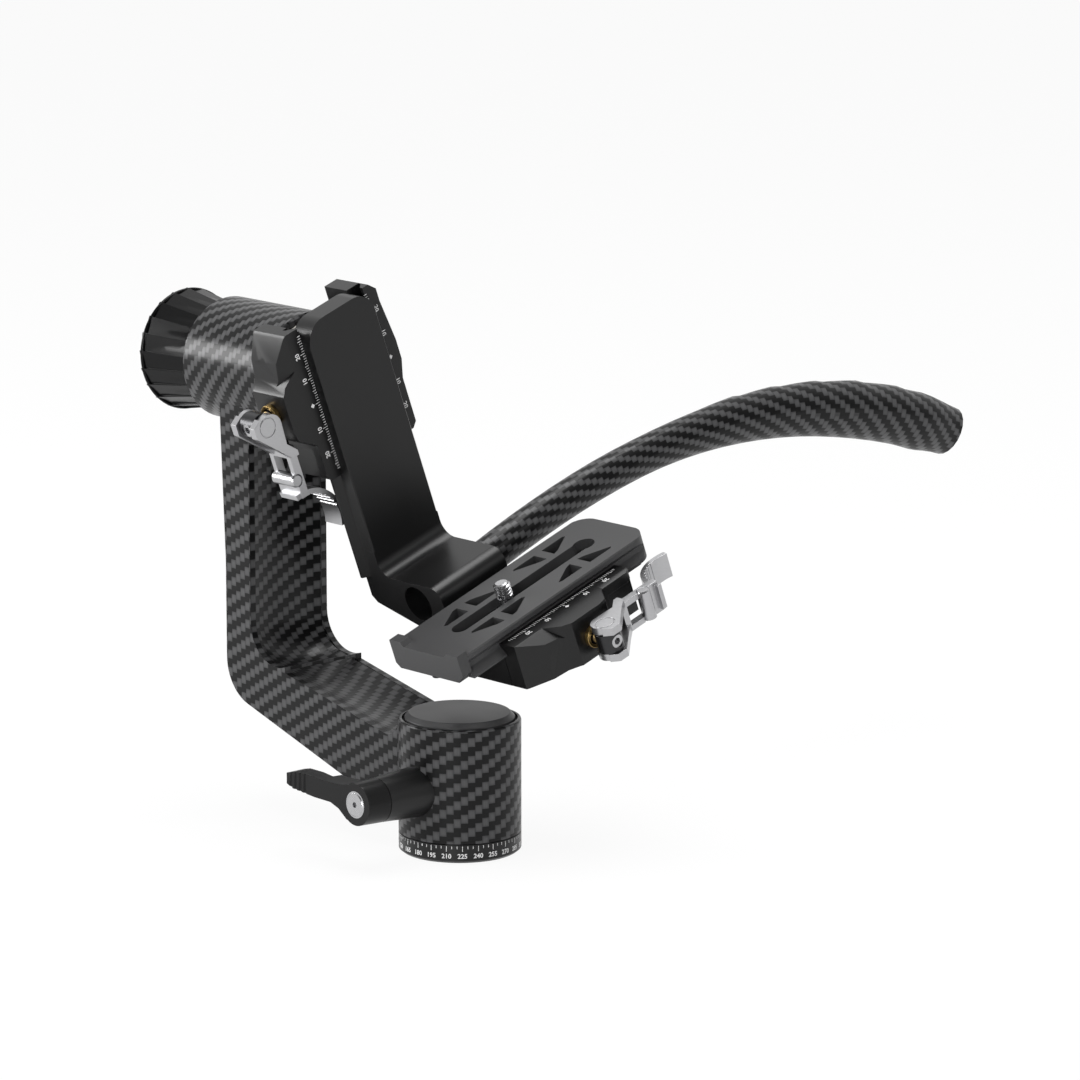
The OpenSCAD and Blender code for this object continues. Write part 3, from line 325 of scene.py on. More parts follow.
def twill_group():
    """Two-by-two twill: which tow lies on top, how high it stands and its fine fibres."""
    tree, inp, out = shader_group(
        "carbon_twill",
        (("Vector", "NodeSocketVector", None), ("Tow", "NodeSocketFloat", 0.0026)),
        (("Warp", "NodeSocketFloat"), ("Height", "NodeSocketFloat"), ("Fibre", "NodeSocketFloat")),
    )
    split = tree.nodes.new("ShaderNodeSeparateXYZ")
    tree.links.new(inp.outputs["Vector"], split.inputs[0])
    tow = inp.outputs["Tow"]
    across = math_node(tree, "DIVIDE", split.outputs[0], tow)
    along = math_node(tree, "DIVIDE", split.outputs[1], tow)
    column = math_node(tree, "FLOOR", across)
    row = math_node(tree, "FLOOR", along)
    step = math_node(tree, "FLOORED_MODULO", math_node(tree, "SUBTRACT", column, row), 4.0)
    warp = math_node(tree, "LESS_THAN", step, 1.5)
    in_column = math_node(tree, "FRACT", across)
    in_row = math_node(tree, "FRACT", along)

    def arch(value, flatness):
        middle = math_node(tree, "ABSOLUTE", math_node(tree, "SUBTRACT", value, 0.5))
        edge = math_node(tree, "POWER", math_node(tree, "MULTIPLY", middle, 2.0), flatness)
        return math_node(tree, "SUBTRACT", 1.0, edge, clamp=True)

    warp_step = math_node(tree, "SUBTRACT", 1.0, step)
    weft_step = math_node(tree, "SUBTRACT", step, 2.0)
    warp_run = math_node(tree, "DIVIDE", math_node(tree, "ADD", warp_step, in_row), 2.0)
    weft_run = math_node(tree, "DIVIDE", math_node(tree, "ADD", weft_step, in_column), 2.0)
    warp_height = math_node(tree, "MULTIPLY", arch(in_column, 4.0), arch(warp_run, 3.0))
    weft_height = math_node(tree, "MULTIPLY", arch(in_row, 4.0), arch(weft_run, 3.0))
    height = mix_number(tree, warp, weft_height, warp_height)
    fibre_place = mix_number(tree, warp, along, across)
    noise = tree.nodes.new("ShaderNodeTexNoise")
    noise.noise_dimensions = "1D"
    noise.inputs["Scale"].default_value = 9.0
    noise.inputs["Detail"].default_value = 2.0
    tree.links.new(fibre_place, noise.inputs["W"])
    tree.links.new(warp, out.inputs["Warp"])
    tree.links.new(height, out.inputs["Height"])
    tree.links.new(noise.outputs[0], out.inputs["Fibre"])
    return tree


def grain_group():
    """Fine satin grain with a slow change of tone, for anodised and moulded surfaces."""
    tree, inp, out = shader_group(
        "satin_grain",
        (("Scale", "NodeSocketFloat", 2500.0), ("Drift", "NodeSocketFloat", 30.0)),
        (("Tone", "NodeSocketFloat"), ("Rough", "NodeSocketFloat"), ("Height", "NodeSocketFloat")),
    )
    place = tree.nodes.new("ShaderNodeTexCoord")
    fine = tree.nodes.new("ShaderNodeTexNoise")
    fine.inputs["Detail"].default_value = 3.0
    slow = tree.nodes.new("ShaderNodeTexNoise")
    slow.inputs["Detail"].default_value = 2.0
    for node, scale in ((fine, "Scale"), (slow, "Drift")):
        tree.links.new(place.outputs["Object"], node.inputs["Vector"])
        tree.links.new(inp.outputs[scale], node.inputs["Scale"])
    tree.links.new(slow.outputs[0], out.inputs["Tone"])
    tree.links.new(slow.outputs[0], out.inputs["Rough"])
    tree.links.new(fine.outputs[0], out.inputs["Height"])
    return tree


def brushed_group():
    """Fine brushing across a piece: noise stretched along one direction."""
    tree, inp, out = shader_group(
        "brushed_metal",
        (("Stretch", "NodeSocketVector", (60.0, 60.0, 4000.0)),),
        (("Line", "NodeSocketFloat"),),
    )
    place = tree.nodes.new("ShaderNodeTexCoord")
    scale = tree.nodes.new("ShaderNodeVectorMath")
    scale.operation = "MULTIPLY"
    noise = tree.nodes.new("ShaderNodeTexNoise")
    noise.inputs["Scale"].default_value = 1.0
    noise.inputs["Detail"].default_value = 3.0
    tree.links.new(place.outputs["Object"], scale.inputs[0])
    tree.links.new(inp.outputs["Stretch"], scale.inputs[1])
    tree.links.new(scale.outputs[0], noise.inputs["Vector"])
    tree.links.new(noise.outputs[0], out.inputs["Line"])
    return tree


def new_material(name):
    """A material with its Principled shader; returns (material, tree, shader)."""
    mat = bpy.data.materials.new(name)
    mat.use_nodes = True
    tree = mat.node_tree
    shader = tree.nodes["Principled BSDF"]
    return mat, tree, shader


def use_group(tree, group, **values):
    """Places a node group and sets its named inputs."""
    node = tree.nodes.new("ShaderNodeGroup")
    node.node_tree = group
    for label, value in values.items():
        node.inputs[label].default_value = value
    return node


def bump_from(tree, shader, height, distance, strength):
    """Feeds a height to the shader's normal."""
    bump = tree.nodes.new("ShaderNodeBump")
    bump.inputs["Strength"].default_value = strength
    bump.inputs["Distance"].default_value = distance
    tree.links.new(height, bump.inputs["Height"])
    tree.links.new(bump.outputs[0], shader.inputs["Normal"])


def carbon_material(group, light, dark):
    """Carbon twill under a clear gloss coat; the weave follows the piece's own map."""
    mat, tree, shader = new_material("carbon_twill_gloss")
    uv = tree.nodes.new("ShaderNodeUVMap")
    uv.uv_map = "weave"
    pitch = tree.nodes.new("ShaderNodeMapping")
    pitch.inputs["Scale"].default_value = (1.0, TOW_WIDE / TOW_TALL, 1.0)
    tree.links.new(uv.outputs[0], pitch.inputs["Vector"])
    twill = use_group(tree, group, Tow=TOW_WIDE * MM)
    tree.links.new(pitch.outputs[0], twill.inputs["Vector"])
    fibre = mix_number(tree, twill.outputs["Fibre"], 0.72, 1.28)
    # the fibre noise is the tows' own tone; darkening by the weave's height, down to half where tows
    # dip under and meet, is painted shade in the hollows
    fibre_tone_and_hollow_shade = math_node(tree, "MULTIPLY", fibre, mix_number(tree, twill.outputs["Height"], 0.5, 1.0))
    # the weave pattern is real; the light tow colour mixed in here is painted sheen on the tows that
    # run one way
    weave = mix_colour(tree, twill.outputs["Warp"], dark, light)
    colour = mix_colour(tree, 1.0, weave, grey(tree, fibre_tone_and_hollow_shade), "MULTIPLY")
    tree.links.new(colour, shader.inputs["Base Color"])
    tree.links.new(mix_number(tree, twill.outputs["Warp"], 0.5, 0.38), shader.inputs["Roughness"])
    shader.inputs["Coat Weight"].default_value = 0.28
    shader.inputs["Coat Roughness"].default_value = 0.2
    shader.inputs["Specular IOR Level"].default_value = 0.08
    bump_from(tree, shader, twill.outputs["Height"], 0.1 * MM, 0.4)
    return mat


def satin_material(name, group, colour, rough, shine):
    """Anodised, moulded or painted surface with a fine grain."""
    mat, tree, shader = new_material(name)
    grain = use_group(tree, group)
    low = tuple(c * 0.88 for c in colour) + (1,)
    high = tuple(c * 1.12 for c in colour) + (1,)
    tree.links.new(mix_colour(tree, grain.outputs["Tone"], low, high), shader.inputs["Base Color"])
    gloss = mix_number(tree, grain.outputs["Rough"], rough - 0.07, rough + 0.07)
    tree.links.new(gloss, shader.inputs["Roughness"])
    shader.inputs["Specular IOR Level"].default_value = shine
    bump_from(tree, shader, grain.outputs["Height"], 0.01 * MM, 0.6)
    return mat


def metal_material(name, group, colour, rough, stretch):
    """Bare metal with fine brushing."""
    mat, tree, shader = new_material(name)
    lines = use_group(tree, group)
    lines.inputs["Stretch"].default_value = stretch
    low = tuple(c * 0.9 for c in colour) + (1,)
    high = tuple(min(1.0, c * 1.06) for c in colour) + (1,)
    tree.links.new(mix_colour(tree, lines.outputs["Line"], low, high), shader.inputs["Base Color"])
    gloss = mix_number(tree, lines.outputs["Line"], rough - 0.03, rough + 0.05)
    tree.links.new(gloss, shader.inputs["Roughness"])
    shader.inputs["Metallic"].default_value = 1.0
    bump_from(tree, shader, lines.outputs["Line"], 0.001 * MM, 0.5)
    return mat


MATERIALS = {}


# ---------------------------------------------------------------- weave maps

def arm_weave(obj):
    """Lays the weave round the arm's housing and barrel and along its strut and upright."""
    mesh = obj.data
    layer = mesh.uv_layers.new(name="weave")
    centre_x = -(ARM_INNER - INNER_ROUND)
    centre_z = CORNER_TOP_Z + INNER_ROUND / math.tan(math.pi / 4 + TOP_ANGLE / 2)
    middle = INNER_ROUND + STRUT_HALF
    sweep = math.pi / 2 - TOP_ANGLE

    def path(x, z):
        px, pz = x - centre_x, z - centre_z
        turn = min(max(math.atan2(-pz, -px), 0.0), sweep)
        strut = max(px * math.cos(TOP_ANGLE) - pz * math.sin(TOP_ANGLE), 0.0)
        return (max(pz, 0.0) if px < 0 else 0.0) - middle * turn - strut

    for poly in mesh.polygons:
        centre = poly.center / MM
        normal = poly.normal
        round_base = math.hypot(centre.x, centre.y) < BASE_R + 0.4 and centre.z < HOUSING_H + 1
        arm_side = math.hypot(centre.y, centre.z - TILT_Z)
        round_barrel = arm_side < BARREL_R + 0.4 and centre.x < -BARREL_IN + 1
        for loop in poly.loop_indices:
            x, y, z = mesh.vertices[mesh.loops[loop].vertex_index].co / MM
            if round_base and abs(normal.z) < 0.7:
                mid = math.atan2(centre.y, centre.x)
                angle = mid + math.remainder(math.atan2(y, x) - mid, 2 * math.pi)
                u, v = BASE_R * angle, z
            elif round_barrel and abs(normal.x) < 0.7:
                mid = math.atan2(centre.z - TILT_Z, -centre.y)
                angle = mid + math.remainder(math.atan2(z - TILT_Z, -y) - mid, 2 * math.pi)
                u, v = x * TOW_WIDE / BARREL_TOW, BARREL_R * angle * TOW_TALL / BARREL_TOW
            elif abs(normal.y) > 0.6:
                u, v = (x if normal.y < 0 else -x), z
            else:
                inner = normal.x > 0 or normal.z > 0.3
                u, v = (y if inner else -y), path(x, z)
            layer.data[loop].uv = (u * MM, v * MM)


def bezier(t):
    """Place on the handle's centre line, in the cradle's frame."""
    p = [Vector(q) for q in HANDLE_CURVE]
    s = 1 - t
    return s ** 3 * p[0] + 3 * s * s * t * p[1] + 3 * s * t * t * p[2] + t ** 3 * p[3]


def handle_weave(obj):
    """Lays the weave along the handle's curve and round its girth."""
    mesh = obj.data
    layer = mesh.uv_layers.new(name="weave")
    back = cradle_frame().inverted()
    count = 240
    points = [bezier(i / count) for i in range(count + 1)]
    lengths = [0.0]
    for a, b in zip(points, points[1:]):
        lengths.append(lengths[-1] + (b - a).length)
    place = []
    for vertex in mesh.vertices:
        q = back @ (vertex.co / MM)
        flat = Vector((q.y, q.z))
        near = min(range(count + 1), key=lambda i: (points[i] - flat).length_squared)
        ahead = points[min(near + 1, count)] - points[max(near - 1, 0)]
        side = Vector((-ahead.y, ahead.x)).normalized()
        offset = flat - points[near]
        along = lengths[near] + offset.dot(ahead.normalized())
        place.append((along, math.atan2(offset.dot(side), q.x - SOCKET_X)))
    for poly in mesh.polygons:
        mid = place[poly.vertices[0]][1]
        for loop in poly.loop_indices:
            along, angle = place[mesh.loops[loop].vertex_index]
            angle = mid + math.remainder(angle - mid, 2 * math.pi)
            layer.data[loop].uv = (along * MM, -angle * HANDLE_GIRTH_R * MM)


# ---------------------------------------------------------------- marks

def number_mesh(text, height):
    """Generic scale number as a thin mesh, centred, reading along +X."""
    obj = new_primitive(bpy.ops.object.text_add, location=(0, 0, 0))
    obj.data.body = text
    obj.data.size = height * MM
    obj.data.align_x = "CENTER"
    obj.data.align_y = "CENTER"
    obj.data.extrude = MARK_THICK / 2 * MM
    obj.data.offset = 0.05 * MM
    obj.data.resolution_u = 3
    bpy.ops.object.convert(target="MESH")
    return bpy.context.object


def tick_mesh(length, width):
    """One thin scale mark, standing along +Y from the origin."""
    obj = new_primitive(bpy.ops.mesh.primitive_cube_add, size=1, location=(0, 0, 0))
    size = Matrix.Diagonal((width * MM, length * MM, MARK_THICK * MM, 1))
    place_mesh(obj, size @ Matrix.Translation((0, 0.5, 0)))
    return obj


def wrap_round(obj, radius, angle, height):
    """Bends a flat mark round the base's ring at an angle from +X."""
    for vertex in obj.data.vertices:
        x, y, z = vertex.co
        turn = angle + x / (radius * MM)
        out = radius * MM + z
        vertex.co = Vector((out * math.cos(turn), out * math.sin(turn), height * MM + y))


# ---------------------------------------------------------------- settings

class GimbalHeadSettings(bpy.types.PropertyGroup):
    """Sizes and colours that a user would change."""
    edge_round: bpy.props.FloatProperty(
        name="Edge round", description="Width of the rounding on machined edges",
        default=0.0004, unit="LENGTH")
    # carbon's fibres are black, so the light tow colour is painted sheen: the reflection that the tows
    # running one way catch, fixed into their colour; the dark tow is near their own colour
    carbon_light: bpy.props.FloatVectorProperty(
        name="Light tow", description="Colour of the carbon's upper tows",
        default=(0.070, 0.070, 0.072), subtype="COLOR")
    carbon_dark: bpy.props.FloatVectorProperty(
        name="Dark tow", description="Colour of the carbon's lower tows",
        default=(0.0022, 0.0022, 0.0024), subtype="COLOR")
    anodised: bpy.props.FloatVectorProperty(
        name="Anodised black", description="Colour of the clamps and the cradle",
        default=(0.006, 0.006, 0.0062), subtype="COLOR")
    number_height: bpy.props.FloatProperty(
        name="Number height", description="Height of the numbers on the pan scale",
        default=0.0024, unit="LENGTH")


# ---------------------------------------------------------------- operators

class GIMBAL_OT_materials(bpy.types.Operator):
    """Builds the finishes and gives every visible node one"""
    bl_idname = "gimbal_head.materials"
    bl_label = "Finishes"

    def execute(self, context):
        settings = context.scene.gimbal_head
        twill, grain, brushed = twill_group(), grain_group(), brushed_group()
        # light is the painted sheen colour of the tows that run one way
        light, dark = (*settings.carbon_light, 1.0), (*settings.carbon_dark, 1.0)
        MATERIALS["carbon"] = carbon_material(twill, light, dark)
        satins = (
            # slot, name, colour, roughness, specular
            ("anodised", "anodised_black", tuple(settings.anodised), 0.33, 0.32),
            ("anodised_grey", "anodised_dark_grey", (0.045, 0.045, 0.046), 0.42, 0.25),
            ("black_plastic", "moulded_black", (0.007, 0.007, 0.0072), 0.34, 0.18),
            ("knob_black", "gloss_black", (0.004, 0.004, 0.0042), 0.22, 0.14),
            ("white_plastic", "bearing_white", (0.7, 0.68, 0.62), 0.4, 0.4),
            ("mark_white", "engraved_white", (0.75, 0.75, 0.75), 0.5, 0.4),
        )
        for slot, name, colour, rough, shine in satins:
            MATERIALS[slot] = satin_material(name, grain, colour, rough, shine)
        plain = (900.0, 900.0, 900.0)
        metals = (
            # slot, name, colour, roughness, brushing
            ("silver", "satin_silver", (0.46, 0.46, 0.47), 0.30, (500.0, 500.0, 2500.0)),
            ("steel", "plain_steel", (0.46, 0.46, 0.47), 0.26, plain),
            ("black_steel", "blackened_steel", (0.05, 0.05, 0.052), 0.32, plain),
            ("brass", "plain_brass", (0.45, 0.31, 0.12), 0.35, plain),
        )
        for slot, name, colour, rough, stretch in metals:
            MATERIALS[slot] = metal_material(name, brushed, colour, rough, stretch)
        slots = node_slots()
        for node, obj in frame["nodes"].items():
            obj.data.materials.clear()
            obj.data.materials.append(MATERIALS[slots[node]])
        return {"FINISHED"}


class GIMBAL_OT_arm(bpy.types.Operator):
    """Carbon arm with its rounded edges and its weave"""
    bl_idname = "gimbal_head.arm"
    bl_label = "Arm"

    def execute(self, context):
        arm = copy_of("arm", "arm_carbon")
        soften_edges(arm, 0.9, angle=50)
        arm_weave(arm)
        finish_piece(arm, "arm", "carbon", MATERIALS["carbon"], "arm")
        return {"FINISHED"}


class GIMBAL_OT_handle(bpy.types.Operator):
    """Carbon handle, smoothed, with its weave along the curve"""
    bl_idname = "gimbal_head.handle"
    bl_label = "Handle"

    def execute(self, context):
        handle = copy_of("handle", "handle_carbon")
        bpy.ops.object.shade_smooth_by_angle(angle=math.radians(30))
        handle_weave(handle)
        finish_piece(handle, "cradle_arm", "carbon", MATERIALS["carbon"], "handle")
        return {"FINISHED"}


class GIMBAL_OT_machined(bpy.types.Operator):
    """Machined and cast pieces with softened edges"""
    bl_idname = "gimbal_head.machined"
    bl_label = "Machined pieces"

    def execute(self, context):
        width = context.scene.gimbal_head.edge_round / MM
        slots = node_slots()
        rounded = (
            ("plate_clamp_body", width), ("tilt_lever", 0.3), ("plate_lever", 0.3),
            ("cradle", 0.7), ("lens_plate", 0.25), ("pan_lock_lever", 0.5), ("pan_lock_boss", 0.3),
            ("pan_cap", 0.15), ("scale_ring", 0.15), ("tilt_shaft", 0.3),
            ("tilt_latch", 0.2), ("plate_latch", 0.2),
        )
        for node, edge in rounded:
            piece = copy_of(node, node + "_finished")
            soften_edges(piece, edge)
            slot = slots[node]
            finish_piece(piece, frame["nodes"][node]["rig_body"], slot, MATERIALS[slot], node)
        return {"FINISHED"}


class GIMBAL_OT_clamps(bpy.types.Operator):
    """Jaws, saddles and the tilt clamp's body, with their outer faces as photographed"""
    bl_idname = "gimbal_head.clamps"
    bl_label = "Clamps"

    def close_pin_bores(self, jaw, matrix):
        """Closes the guide pins' bores, which end inside the real jaw."""
        back = matrix.inverted()
        reach = GUIDE_PIN_R + 0.15
        only(jaw)
        bpy.ops.object.mode_set(mode="EDIT")
        bpy.ops.mesh.select_mode(type="FACE")
        bpy.ops.mesh.select_all(action="DESELECT")
        bpy.ops.object.mode_set(mode="OBJECT")
        in_bore = []
        for vertex in jaw.data.vertices:
            place = back @ (vertex.co / MM)
            in_bore.append(math.hypot(abs(place.y) - PIN_V, place.z - PIN_W) < reach)
        for poly in jaw.data.polygons:
            poly.select = all(in_bore[index] for index in poly.vertices)
        bpy.ops.object.mode_set(mode="EDIT")
        bpy.ops.mesh.delete(type="FACE")
        bpy.ops.mesh.select_mode(type="EDGE")
        bpy.ops.mesh.select_all(action="SELECT")
        bpy.ops.mesh.fill_holes(sides=0)
        bpy.ops.object.mode_set(mode="OBJECT")

    def shrink_saddle(self, saddle, matrix):
        """Draws the washer in to the radius that the photograph shows."""
        back = matrix.inverted()
        for vertex in saddle.data.vertices:
            u, v, w = back @ (vertex.co / MM)
            far = math.hypot(v - STUD_V, w - STUD_W)
            if far > SADDLE_R:
                v = STUD_V + (v - STUD_V) * SADDLE_R / far
                w = STUD_W + (w - STUD_W) * SADDLE_R / far
                vertex.co = (matrix @ Vector((u, v, w))) * MM

    def cut_notch(self, body):
        """Ends the deck between the jaws short of their upper ends."""
        notch = new_primitive(bpy.ops.mesh.primitive_cube_add, size=1, location=(0, 0, 0))
        size = Matrix.Diagonal((*(side * MM for side in NOTCH_SIZE), 1))
        place_mesh(notch, to_metres(tilt_clamp_frame()) @ moved(*NOTCH_MIDDLE) @ size)
        only(body)
        cut = body.modifiers.new("notch", "BOOLEAN")
        cut.operation = "DIFFERENCE"
        cut.solver = "EXACT"
        cut.object = notch
        bpy.ops.object.modifier_apply(modifier="notch")
        bpy.data.objects.remove(notch)

    def execute(self, context):
        width = context.scene.gimbal_head.edge_round / MM
        tilt, plate = tilt_clamp_frame(), plate_clamp_frame()
        for node, matrix, body in (("tilt_clamp_jaw", tilt, "tilt_jaw"),
                                   ("plate_clamp_jaw", plate, "plate_jaw")):
            jaw = copy_of(node, node + "_finished")
            self.close_pin_bores(jaw, matrix)
            soften_edges(jaw, width)
            finish_piece(jaw, body, "anodised", MATERIALS["anodised"], node)
        for node, matrix, body in (("tilt_saddle", tilt, "tilt_jaw"),
                                   ("plate_saddle", plate, "plate_jaw")):
            saddle = copy_of(node, node + "_finished")
            self.shrink_saddle(saddle, matrix)
            soften_edges(saddle, 0.2)
            finish_piece(saddle, body, "brass", MATERIALS["brass"], node)
        body = copy_of("tilt_clamp_body", "tilt_clamp_body_finished")
        self.cut_notch(body)
        soften_edges(body, width)
        finish_piece(body, "tilt_head", "anodised", MATERIALS["anodised"], "tilt_clamp_body")
        return {"FINISHED"}


class GIMBAL_OT_knob(bpy.types.Operator):
    """Fluted tilt knob with the thin ring round its rim"""
    bl_idname = "gimbal_head.knob"
    bl_label = "Tilt knob"

    def execute(self, context):
        knob = copy_of("tilt_knob", "tilt_knob_fluted")
        soften_edges(knob, 0.12)
        ring = new_primitive(
            bpy.ops.mesh.primitive_torus_add, major_segments=96, minor_segments=12,
            major_radius=KNOB_RING_R * MM, minor_radius=KNOB_RING_THICK * MM,
            location=(KNOB_RING_X * MM, 0, TILT_Z * MM), rotation=(0, math.pi / 2, 0))
        place_mesh(ring, Matrix.Identity(4))
        bpy.ops.object.shade_smooth()
        body = frame["nodes"]["tilt_knob"]["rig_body"]
        knob = join_all([knob, ring], "tilt_knob_fluted")
        finish_piece(knob, body, "knob_black", MATERIALS["knob_black"], "tilt_knob")
        return {"FINISHED"}


class GIMBAL_OT_camera_screw(bpy.types.Operator):
    """Camera screw with its thread"""
    bl_idname = "gimbal_head.camera_screw"
    bl_label = "Camera screw"

    def thread_ridge(self, core):
        """One helical ridge, turned from a slim profile."""
        ridge = new_primitive(bpy.ops.mesh.primitive_plane_add, size=1, location=(0, 0, 0))
        half = SCREW_PITCH / 2 * 0.86
        low = THREAD_FROM + 0.1
        crest = SCREW_R - 0.03
        foot = core - 0.1
        profile = ((foot, low), (foot, low + 2 * half),
                   (crest, low + half - 0.12), (crest, low + half + 0.12))
        for vertex, (x, z) in zip(ridge.data.vertices, profile):
            vertex.co = Vector((x * MM, 0, z * MM))
        only(ridge)
        bpy.ops.object.mode_set(mode="EDIT")
        bpy.ops.mesh.select_all(action="SELECT")
        bpy.ops.mesh.delete(type="ONLY_FACE")
        bpy.ops.object.mode_set(mode="OBJECT")
        turn = ridge.modifiers.new("thread", "SCREW")
        turn.axis = "Z"
        turn.angle = 2 * math.pi
        turn.screw_offset = SCREW_PITCH * MM
        turn.iterations = THREAD_TURNS
        turn.steps = 40
        turn.render_steps = 40
        turn.use_normal_calculate = True
        bpy.ops.object.modifier_apply(modifier="thread")
        bpy.ops.object.mode_set(mode="EDIT")
        bpy.ops.mesh.select_all(action="SELECT")
        bpy.ops.mesh.remove_doubles(threshold=1e-6)
        bpy.ops.mesh.select_all(action="DESELECT")
        bpy.ops.mesh.select_non_manifold()
        bpy.ops.mesh.edge_face_add()
        bpy.ops.mesh.select_all(action="SELECT")
        bpy.ops.mesh.normals_make_consistent(inside=False)
        bpy.ops.object.mode_set(mode="OBJECT")
        return ridge

    def shank(self, core):
        """Core of the thread with its chamfered end."""
        length = SCREW_STANDS - THREAD_FROM + 0.1
        shank = new_primitive(
            bpy.ops.mesh.primitive_cylinder_add, vertices=48, radius=core * MM, depth=length * MM,
            location=(0, 0, (SCREW_STANDS - length / 2) * MM))
        place_mesh(shank, Matrix.Identity(4))
        soften_edges(shank, 0.5, segments=3)
        return shank

    def execute(self, context):
        place = to_metres(cradle_frame()) @ moved(0, SCREW_Y, -PLATE_DROP)
        head = copy_of("camera_screw", "screw_head")
        head.data.transform(place.inverted())
        only(head)
        bpy.ops.object.mode_set(mode="EDIT")
        bpy.ops.mesh.select_all(action="SELECT")
        bpy.ops.mesh.bisect(
            plane_co=(0, 0, THREAD_FROM * MM), plane_no=(0, 0, 1), clear_outer=True, use_fill=True)
        bpy.ops.object.mode_set(mode="OBJECT")
        soften_edges(head, 0.2)
        core = SCREW_R - THREAD_DEEP
        screw = join_all([self.shank(core), self.thread_ridge(core), head], "camera_screw_threaded")
        place_mesh(screw, place)
        even_normals(screw)
        finish_piece(screw, "screw", "steel", MATERIALS["steel"], "camera_screw")
        return {"FINISHED"}


class GIMBAL_OT_pan_scale(bpy.types.Operator):
    """Degree marks and numbers round the base"""
    bl_idname = "gimbal_head.pan_scale"
    bl_label = "Pan scale"

    def execute(self, context):
        size = context.scene.gimbal_head.number_height / MM
        parts = []
        for label in range(0, 360, 5):
            angle = math.radians(label - PAN_FACING_X)
            long_mark = label % 15 == 0
            tick = tick_mesh(2.0 if long_mark else 1.0, PAN_MARK_WIDE)
            wrap_round(tick, BASE_R, angle, 4.5 if long_mark else 5.5)
            parts.append(tick)
            if long_mark:
                number = number_mesh(str(label), size)
                wrap_round(number, BASE_R, angle, PAN_NUMBER_Z)
                parts.append(number)
        marks = join_all(parts, "pan_scale_marks")
        finish_piece(marks, "base", "white_plastic", MATERIALS["mark_white"])
        return {"FINISHED"}


class GIMBAL_OT_clamp_scales(bpy.types.Operator):
    """Centimetre scales on both clamps"""
    bl_idname = "gimbal_head.clamp_scales"
    bl_label = "Clamp scales"

    def scale_side(self, name, matrix, side, start, body):
        """Marks on one jaw: side is +1 on the moving jaw and -1 on the fixed one."""
        parts = []
        turn = Matrix.Rotation(-side * math.pi / 2, 4, "Z")
        for step in range(-CLAMP_MARKS, CLAMP_MARKS + 1):
            length = 2.2 if step % 10 == 0 else (1.8 if step % 5 == 0 else 1.3)
            tick = tick_mesh(length, CLAMP_MARK_WIDE)
            place_mesh(tick, moved(side * start, step, 0) @ turn)
            parts.append(tick)
        for value in (-20, -10, 0, 10, 20):
            if value:
                mark = number_mesh(str(abs(value)), CLAMP_NUMBER_TALL)
            else:
                mark = new_primitive(bpy.ops.mesh.primitive_cube_add, size=1, location=(0, 0, 0))
                size = Matrix.Diagonal((CLAMP_DOT * MM, CLAMP_DOT * MM, MARK_THICK * MM, 1))
                place_mesh(mark, Matrix.Rotation(math.pi / 4, 4, "Z") @ size)
            place_mesh(mark, moved(side * (start + CLAMP_NUMBERS_FROM), value, 0) @ turn)
            parts.append(mark)
        marks = join_all(parts, name)
        place_mesh(marks, to_metres(matrix) @ moved(0, 0, MARK_LIFT))
        finish_piece(marks, body, "white_plastic", MATERIALS["mark_white"])

    def execute(self, context):
        tilt, plate = tilt_clamp_frame(), plate_clamp_frame()
        self.scale_side("tilt_jaw_marks", tilt, 1, MARKS_FROM, "tilt_jaw")
        self.scale_side("tilt_body_marks", tilt, -1, MARKS_FROM, "tilt_head")
        self.scale_side("plate_jaw_marks", plate, 1, MARKS_FROM + PLATE_EXTRA, "plate_jaw")
        self.scale_side("plate_body_marks", plate, -1, MARKS_FROM, "cradle_arm")
        return {"FINISHED"}


